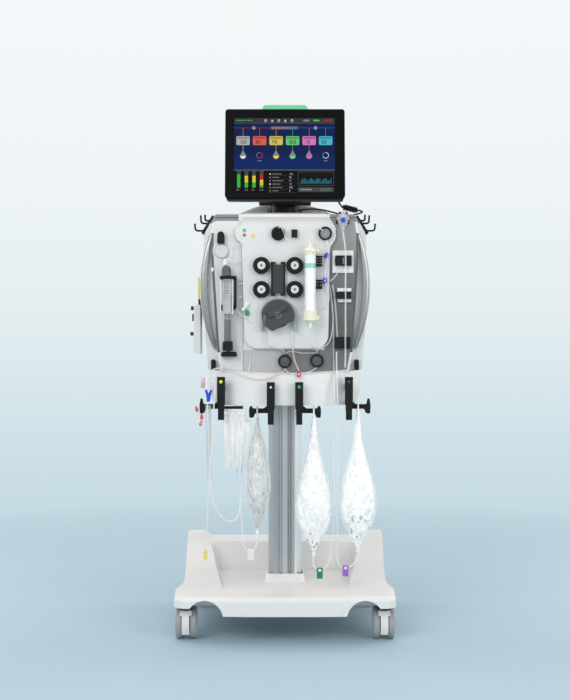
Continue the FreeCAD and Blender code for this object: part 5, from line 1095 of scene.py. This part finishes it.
def build_front_lines():
    routes = {
        "pump_left_leg": ([(-62, -199, 914), (-62.5, -199, 888), (-55, -198, 868), (-34, -197, 862),
            (-10, -197, 859), (-2, -192, 851), (-1, -184.5, 843.7)], TUBE_PINK, 4.8),
        "pump_right_leg": ([(21, -199, 914), (21.5, -198, 885), (24, -197, 850), (29, -196, 820),
            (37, -200, 804), (41, -208, 793.5)], TUBE_PINK, 4.8),
        "filter_outlet": ([(74.4, -222, 919), (74.4, -221, 890), (77, -214, 868), (89, -200, 858),
            (95, -185, 848)], TUBE, 4.8),
        "filter_inlet": ([(74.4, -222, 1177), (74.4, -221, 1200), (84, -215, 1219), (104, -208, 1219),
            (112, -204.5, 1209)], TUBE_WHITE, 4.8),
        "return_line": ([(172, -204, 1211), (174, -202, 1192), (180, -199, 1160), (181, -197, 1110),
            (180, -196, 1060), (181, -194, 1010), (180, -192, 960), (181, -191, 915), (180, -189, 870),
            (181, -188, 830), (179, -187, 802)], TUBE_WHITE, 5.0),
        "supply_line": ([(135, -179, 1040), (140, -180, 1010), (144, -180, 965), (145, -181, 915),
            (144.5, -181, 865), (146, -182, 825), (146, -186, 800), (146, -190, 788)], TUBE, 5.0),
        "heater_line": ([(142, -188, 1050), (149, -187.5, 1010), (153, -187, 960), (155, -187.5, 915),
            (156, -188, 904), (156, -188, 894.1)], TUBE, 5.0),
        "access_lead": ([(-0.5, -184, 800.6), (-0.5, -184, 796), (-1.8, -187, 791.8), (-7, -195, 789.6),
            (-14, -203.5, 788.6), (-22.5, -210.8, 784.5), (-33, -212, 777), (-48, -210.5, 771.5),
            (-70, -207, 767.5), (-98, -202, 769), (-130, -194, 780), (-160, -186, 794), (-184, -182, 802)],
            TUBE_PINK, 4.8),
    }
    for name, (points, material, diameter) in routes.items():
        obj = tube_piece(name + "_tube", points, diameter, "root", material)
        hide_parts("tubing_set")
    extra = {
        "syringe_loop": [(-189, -190, 1124), (-204, -189, 1127), (-214, -187, 1140), (-216, -185, 1153),
            (-212, -185, 1168), (-200, -186, 1178), (-186, -187, 1179), (-172, -188, 1174),
            (-162, -189, 1160), (-160, -190, 1146), (-166, -191, 1131), (-178, -190, 1121),
            (-186, -189, 1113)],
        "syringe_line": [(-174, -206, 1068), (-174, -206, 1112), (-172, -206, 1120), (-166, -204, 1124),
            (-157, -200, 1121), (-152, -197, 1117)],
        "infusion_line": [(-128, -191, 1055), (-138, -192, 1051), (-146, -192, 1042), (-150, -193, 1026),
            (-149, -193, 1004), (-146, -193, 984), (-139, -193, 968), (-127, -193, 957), (-111, -193, 945),
            (-96, -193, 936)],
        "infusion_branch": [(-128, -191, 1014), (-138, -192, 1011), (-147, -193, 1004)],
        "loop_tail": [(-164, -189, 1163), (-150, -190, 1168), (-136, -191, 1170), (-124, -191, 1172)],
        "side_tail": [(-153, -182, 1112), (-140, -186, 1119), (-124, -191, 1124)],
        "panel_loop": [(-20, -206, 1218), (-12, -208, 1222), (-4, -205, 1206), (2, -201, 1188),
            (10, -199, 1180), (22, -199, 1182), (28, -203, 1190)],
        "cross_line": [(2, -184, 846), (14, -186, 852), (32, -190, 850), (50, -192, 845), (72, -190, 846),
            (92, -185, 846)],
        "lower_loop": [(-1, -184, 800), (6, -190, 790), (22, -204, 783), (41, -209, 784), (66, -203, 788),
            (86, -190, 795), (95, -184, 803)],
        "valve_line": [(163, -190, 1100), (158, -192, 1088), (150, -192, 1074), (140, -190, 1064),
            (131, -188, 1060)],
        "side_line": [(121, -200, 1184), (129, -200, 1170), (131, -199, 1150), (126, -199, 1128),
            (121, -199, 1098), (119, -199, 1062), (126, -198, 1042), (132, -196, 1020), (131, -194, 998),
            (122, -193, 982), (112, -193, 974)],
        "right_drop": [(133, -180, 1052), (137, -180, 1020), (141, -180, 985), (144, -180, 950),
            (142, -182, 915), (136, -184, 885), (124, -188, 868), (108, -190, 864), (97, -187, 858),
            (95, -184, 846)],
        "left_drop": [(-108, -178, 846), (-104, -179, 826), (-106, -184, 806), (-110, -198, 786)],
    }
    for name, points in extra.items():
        tube_piece(name + "_tube", points, 3.2, "root", TUBE_PINK if name == "cross_line" else TUBE_WHITE,
            sides=8)


def build_side_fittings():
    """Luer of the syringe line, the scale on the barrel, and what hangs by the first scale."""
    lathe("slant_connector", [(3.0, 0), (4.4, 1), (4.4, 8), (3.8, 9), (3.8, 30), (2.8, 32)],
        (-127, -194.5, 973), (0.64, 0, 0.77), "root", WHITE_CAP)
    outline = [(-118.5, 958), (-107.5, 958), (-106.5, 967), (-109.5, 974.5), (-115.5, 974.5), (-119.5, 967)]
    plate("green_clamp", outline, -199, -190, "root", GREEN_CAP, 1.0)
    lathe("chamber_float", [(1.0, 0), (6.6, 0.5), (7.6, 2.0), (6.4, 4.2), (2.0, 5.0)], (172, -223.5, 1239),
        (0, -1, 0), "root", BLUE_CAP)
    lathe("syringe_luer", [(3.6, 0), (5.4, 2), (5.4, 9), (4.2, 11), (4.2, 17), (2.4, 19)],
        (-178.5, -206, 1106.5), (0, 0, 1), "root", WHITE_CAP)
    for k in range(9):
        z = 1022 + 4.6 * k
        wide = 11.0 if k % 2 == 0 else 7.0
        plate("syringe_mark_%d" % k, rounded_box(-173 - wide, -173 + wide, z, z + 0.9, 0.3), -221.9, -221.2,
            "root", BLACK, 0)
    for side in (-192.3, -156.2):
        plate("syringe_rail_%.0f" % -side, rounded_box(side, side + 2.6, 962, 1064, 1.0), -219, -210,
            "root", WHITE_CAP, 0.5)
    plate("groove_luer", rounded_box(-222, -213.5, 1090, 1102, 3), -181, -172, "root", WHITE_CAP,
        1.2)
    for k, dx in enumerate((-5.6, 0.0, 5.6)):
        points = [(-229 + dx, -191, 690), (-229 + dx, -191.5, 650), (-228 + dx, -192, 600),
            (-227 + dx, -192, 550), (-226 + dx, -192, 505), (-225 + dx * 0.6, -193, 470)]
        tube_piece("folded_line_%d" % k, points, 5.6, "scale_1", BUNDLE)
    plate("line_label", rounded_box(-250, -238, 742, 772, 1), -203.6, -203.0, "root", PINK_CAP,
        0)
    for k, (x, z) in enumerate(((-262, 679), (-249, 656), (-253, 637))):
        lathe("red_cap_%d" % k, [(3.0, 0), (4.6, 1), (4.6, 9), (3.4, 11), (3.4, 15), (1.6, 16)],
            (x, -190, z - 8), (0.25 * (k - 1), 0, 1), "scale_1", RED_CAP, 16)
        tube_piece("cap_line_%d" % k, [(x, -190, z - 8), (x + 2, -192, z - 22), (-247, -196, z - 48)], 3.2,
            "scale_1", TUBE_WHITE)
    outline = [(-238, 736), (-233, 738), (-227, 726), (-221, 738), (-216, 735), (-221, 716), (-223, 702),
        (-232, 702), (-233, 716)]
    plate("access_clamp", outline, -214, -203, "root", BLUE_CAP, 1.0)


def build_trim():
    face = -190.0
    lamps = [("lamp_green", -121.5, 1213, 5.6, (0.05, 0.62, 0.26)),
             ("lamp_red", -121.5, 1198.5, 4.8, (0.75, 0.05, 0.08)),
             ("lamp_yellow", -96, 1197.5, 6.2, (0.95, 0.74, 0.12))]
    for name, x, z, r, color in lamps:
        glow = light_emitter(name + "_glow", color, 0.55)
        lathe(name, [(r, 0), (r, 1.0), (r * 0.8, 1.8), (r * 0.35, 2.2)], (x, face + 0.2, z), (0, -1, 0),
            "root", glow)
        plate(name + "_ring", circle(x, z, r + 1.6), face - 0.5, face + 0.2, "root", WHITE_CAP,
            0)
    marks = [(1, -216.0, circle(-190, 760.5, 5.2), (0.85, 0.78, 0.05)),
             (2, -234.0, [(-46.5, 742), (-37.5, 742), (-42, 750.5)], (0.85, 0.86, 0.87)),
             (3, -234.0, [(37.6, 741.6), (46.4, 741.6), (46.4, 750.4), (37.6, 750.4)], (0.03, 0.42, 0.12)),
             (4, -216.0, circle(190, 760.5, 5.4, 8, math.pi / 8), (0.09, 0.03, 0.10))]
    for number, front, outline, color in marks:
        paint = plastic("mark_%d_paint" % number, color, 0.4, 0.04)
        plate("scale_mark_%d" % number, outline, front - 0.45, front + 0.2, "scale_%d" % number, paint,
            0)


set_stage()
build_lines()
build_screen()
build_bags()
build_front_lines()
build_side_fittings()
build_trim()

# Paints of the CAD nodes: each zone is a colour and a box or disc of the CAD frame

DARK = (0.008, 0.008, 0.009)
PALE = (0.78, 0.78, 0.78)
# A dark grey: the pod centres' own tone, and painted shade on the frame's faces beside the panels
POD_GREY_AND_STRIP_SHADE = (0.10, 0.10, 0.105)
# Painted highlights: thin light lines on the ridges of the black filter grip arms
RIDGE_HIGHLIGHT = (0.34, 0.34, 0.40)
RIDGE_HIGHLIGHT_TALL = 1.4
# Its last zones are painted highlights on the grip arms' ridges
SENSORS = zoned("sensor_paint", DARK, [
    (PALE, {"x": (141, 206), "y": (-185.3, -170), "z": (1085, 1153)}),
    (PALE, {"x": (152, 199), "z": (1029.5, 1041)}),
    (PALE, {"x": (152, 199), "z": (997, 1007)}),
    ((0.20, 0.20, 0.22), {"x": (172, 184), "y": (-199, -190), "z": (1112, 1130)}),
    ((0.62, 0.63, 0.65), {"x": (-212, -168), "z": (1128, 1172)}),
] + [(RIDGE_HIGHLIGHT, {"x": (60, 112), "z": (z, z + RIDGE_HIGHLIGHT_TALL)}) for z in (1127, 1119, 1111, 1056, 1047)], spec=0.25)
PODS = zoned("pod_paint", DARK, [
    ((0.30, 0.30, 0.31), {"x": (98, 142), "round": ("XZ", 120, 1202.5, 15.0)}),
    (POD_GREY_AND_STRIP_SHADE, {"x": (-23, 22), "round": ("XZ", -0.5, 821, 15.0)}),
    (POD_GREY_AND_STRIP_SHADE, {"x": (73, 118), "round": ("XZ", 95.5, 823, 15.0)})], spec=0.25)
RACEWAYS = zoned("raceway_paint", DARK, [
    ((0.36, 0.36, 0.37), {"x": (-74, 33), "z": (905, 1010.5)}),
    ((0.055, 0.055, 0.058), {"x": (-36, -5), "z": (1024, 1111)})], spec=0.25)
CLAMPS = zoned("clamp_paint", (0.02, 0.05, 0.62), [
    (PALE, {"x": (-131, -103), "z": (974.8, 1001)}),
    ((0.72, 0.06, 0.08), {"x": (34, 48), "z": (774, 793)}),
    (PALE, {"round": ("XZ", 119.5, 1062, 2.8)}),
    (PALE, {"round": ("XZ", 41, 783, 2.6)})], 0.32)
PUSHER = zoned("pusher_paint", DARK, [
    ((0.36, 0.35, 0.34), {"z": (945, 1006.8)}), ((0.22, 0.22, 0.225), {"z": (881, 945)})], spec=0.25)
HOLDER = zoned("holder_paint", DARK, [
    ((0.11, 0.11, 0.112), {"x": (-194, -162), "z": (1075, 1108)}),
    ((0.50, 0.50, 0.51), {"x": (-180, -166), "z": (850, 975)})], spec=0.25)
WARMER = zoned("warmer_paint", (0.76, 0.75, 0.71), [
    ((0.80, 0.72, 0.14), {"z": (1011.5, 1080)}), (DARK, {"x": (-295, -281.2)}),
    (DARK, {"z": (994, 1011.5)})])
# Painted shade: a grey band on the frame's top step, with the thin dark seam line under the top cover
TOP_SHADE_AND_SEAM = [((0.24, 0.24, 0.245), (1240, 1268)), ((0.05, 0.05, 0.052), (1251.6, 1254))]
# Painted shade: the frame's faces beside the panels, where the module's side walls lie in shadow, are
# painted dark grey
FRAME = zoned("frame_paint", (0.80, 0.80, 0.80), [
    (POD_GREY_AND_STRIP_SHADE, {"x": span, "y": (-176, -150), "z": (848, 1206)}) for span in ((-252, -186), (186, 252))
] + [(tone, {"x": span, "z": z}) for tone, z in TOP_SHADE_AND_SEAM for span in ((-260, -139), (134, 260))],
    0.32, coat=0.2)
FILTER = zoned("filter_paint", (0.93, 0.93, 0.92), [
    ((0.26, 0.66, 0.56), {"z": (1096.5, 1111)})], 0.26, coat=0.3)
# Painted shading: the syringe and pump panels lighter towards the top, a painted shade along the pump
# panel's top edge, and the top cover darker towards its top
SIDE_SHADED_PAINT = graded("side_panel_paint", "Z", 792, 1242, (0.0, 0.68), (0.25, 0.66), (0.55, 0.68), (1.0, 0.76))
PUMP_SHADED_PAINT = graded("pump_panel_paint", "Z", 856, 1254, (0.0, 0.70), (0.25, 0.70), (0.6, 0.68), (0.94, 0.75),
    (0.985, 0.56))
SHADED_COVER_PAINT = graded("cover_paint", "Z", 1261, 1343, (0.0, 0.50), (0.6, 0.34), (1.0, 0.22), rough=0.26, coat=0.4)

PLAIN = {
    "base_tray": base_paint(), "base_chassis": CHASSIS_METAL, "column": column_metal(),
    "inner_chassis": CHASSIS_METAL, "rear_housing": WHITE, "rear_inlets": BLACK,
    "push_handle": LIGHT_GREY, "side_shells": shell_metal(), "front_frame": FRAME,
    "syringe_panel": SIDE_SHADED_PAINT, "return_panel": return_panel_paint(), "pump_panel": PUMP_SHADED_PAINT,
    "scale_housing": WHITE, "top_cover": SHADED_COVER_PAINT, "pump_motors": MOTOR_METAL,
    "electronics": BOARD, "pump_raceways": RACEWAYS, "pressure_pods": PODS, "sensor_blocks": SENSORS,
    "filter_body": FILTER, "filter_headers": CREAM, "syringe_holder": HOLDER,
    "syringe_barrel": clear("syringe_clear", (0.80, 0.81, 0.82), 0.34, 0.08),
    "syringe_pusher": PUSHER, "drip_chamber": CHAMBER, "line_hooks": BLACK,
    "blood_warmer": WARMER, "line_clamps": CLAMPS, "monitor_plug": BLACK, "neck_base": BLACK,
    "neck_yoke": BLACK, "monitor_bezel": bezel_glass(), "beacon": BEACON,
    "monitor_back": zoned("monitor_back_paint", (0.55, 0.56, 0.57), [(DARK, {"z": (1290, 1318)})]),
    "blood_pump_rotor": zoned("blood_rotor_paint", (0.055, 0.056, 0.058), [
        # The outer ring round the hub is a painted highlight on its edge; inside it a darker ring and the
        # light hub
        ((0.16, 0.16, 0.165), {"y": (-230, -205), "round": ("XZ", -20.5, 958.2, 9.5)}),
        ((0.045, 0.045, 0.047), {"y": (-230, -205), "round": ("XZ", -20.5, 958.2, 6.5)}),
        ((0.34, 0.34, 0.35), {"y": (-230, -205), "round": ("XZ", -20.5, 958.2, 2.6)})], 0.42, spec=0.4),
}
for node, material in PLAIN.items():
    dress(node, material, 0.5 if node in ("pump_raceways", "sensor_blocks", "line_clamps") else 0.8)
for i in range(1, 5):
    x = -70.15 if i % 2 else 29.15
    z = 1106.5 if i < 3 else 1035.0
    rotor = zoned("fluid_rotor_paint_%d" % i, DARK, [
        ((0.66, 0.66, 0.67), {"y": (-212, -204), "round": ("XZ", x, z, 12.0)}),
        (DARK, {"y": (-212, -204), "round": ("XZ", x, z, 3.0)})], spec=0.25)
    dress("fluid_pump_rotor_%d" % i, rotor, 0.4)
    dress("scale_arm_%d" % i, BLACK, 0.8)
for place in ("front_left", "front_right", "rear_left", "rear_right"):
    fork = zoned("fork_paint_" + place, (0.80, 0.80, 0.80), [((0.05, 0.05, 0.052), {"z": (88, 120)})])
    dress("caster_fork_" + place, fork, 0.6)
    low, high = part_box("caster_wheels_" + place)
    middle = [500.0 * (a + b) for a, b in zip(low, high)]
    wheel = zoned("wheel_paint_" + place, (0.36, 0.37, 0.38), [
        ((0.74, 0.74, 0.75), {"round": ("YZ", middle[1], middle[2], 36.0)})], 0.45)
    dress("caster_wheels_" + place, wheel, 0.5)
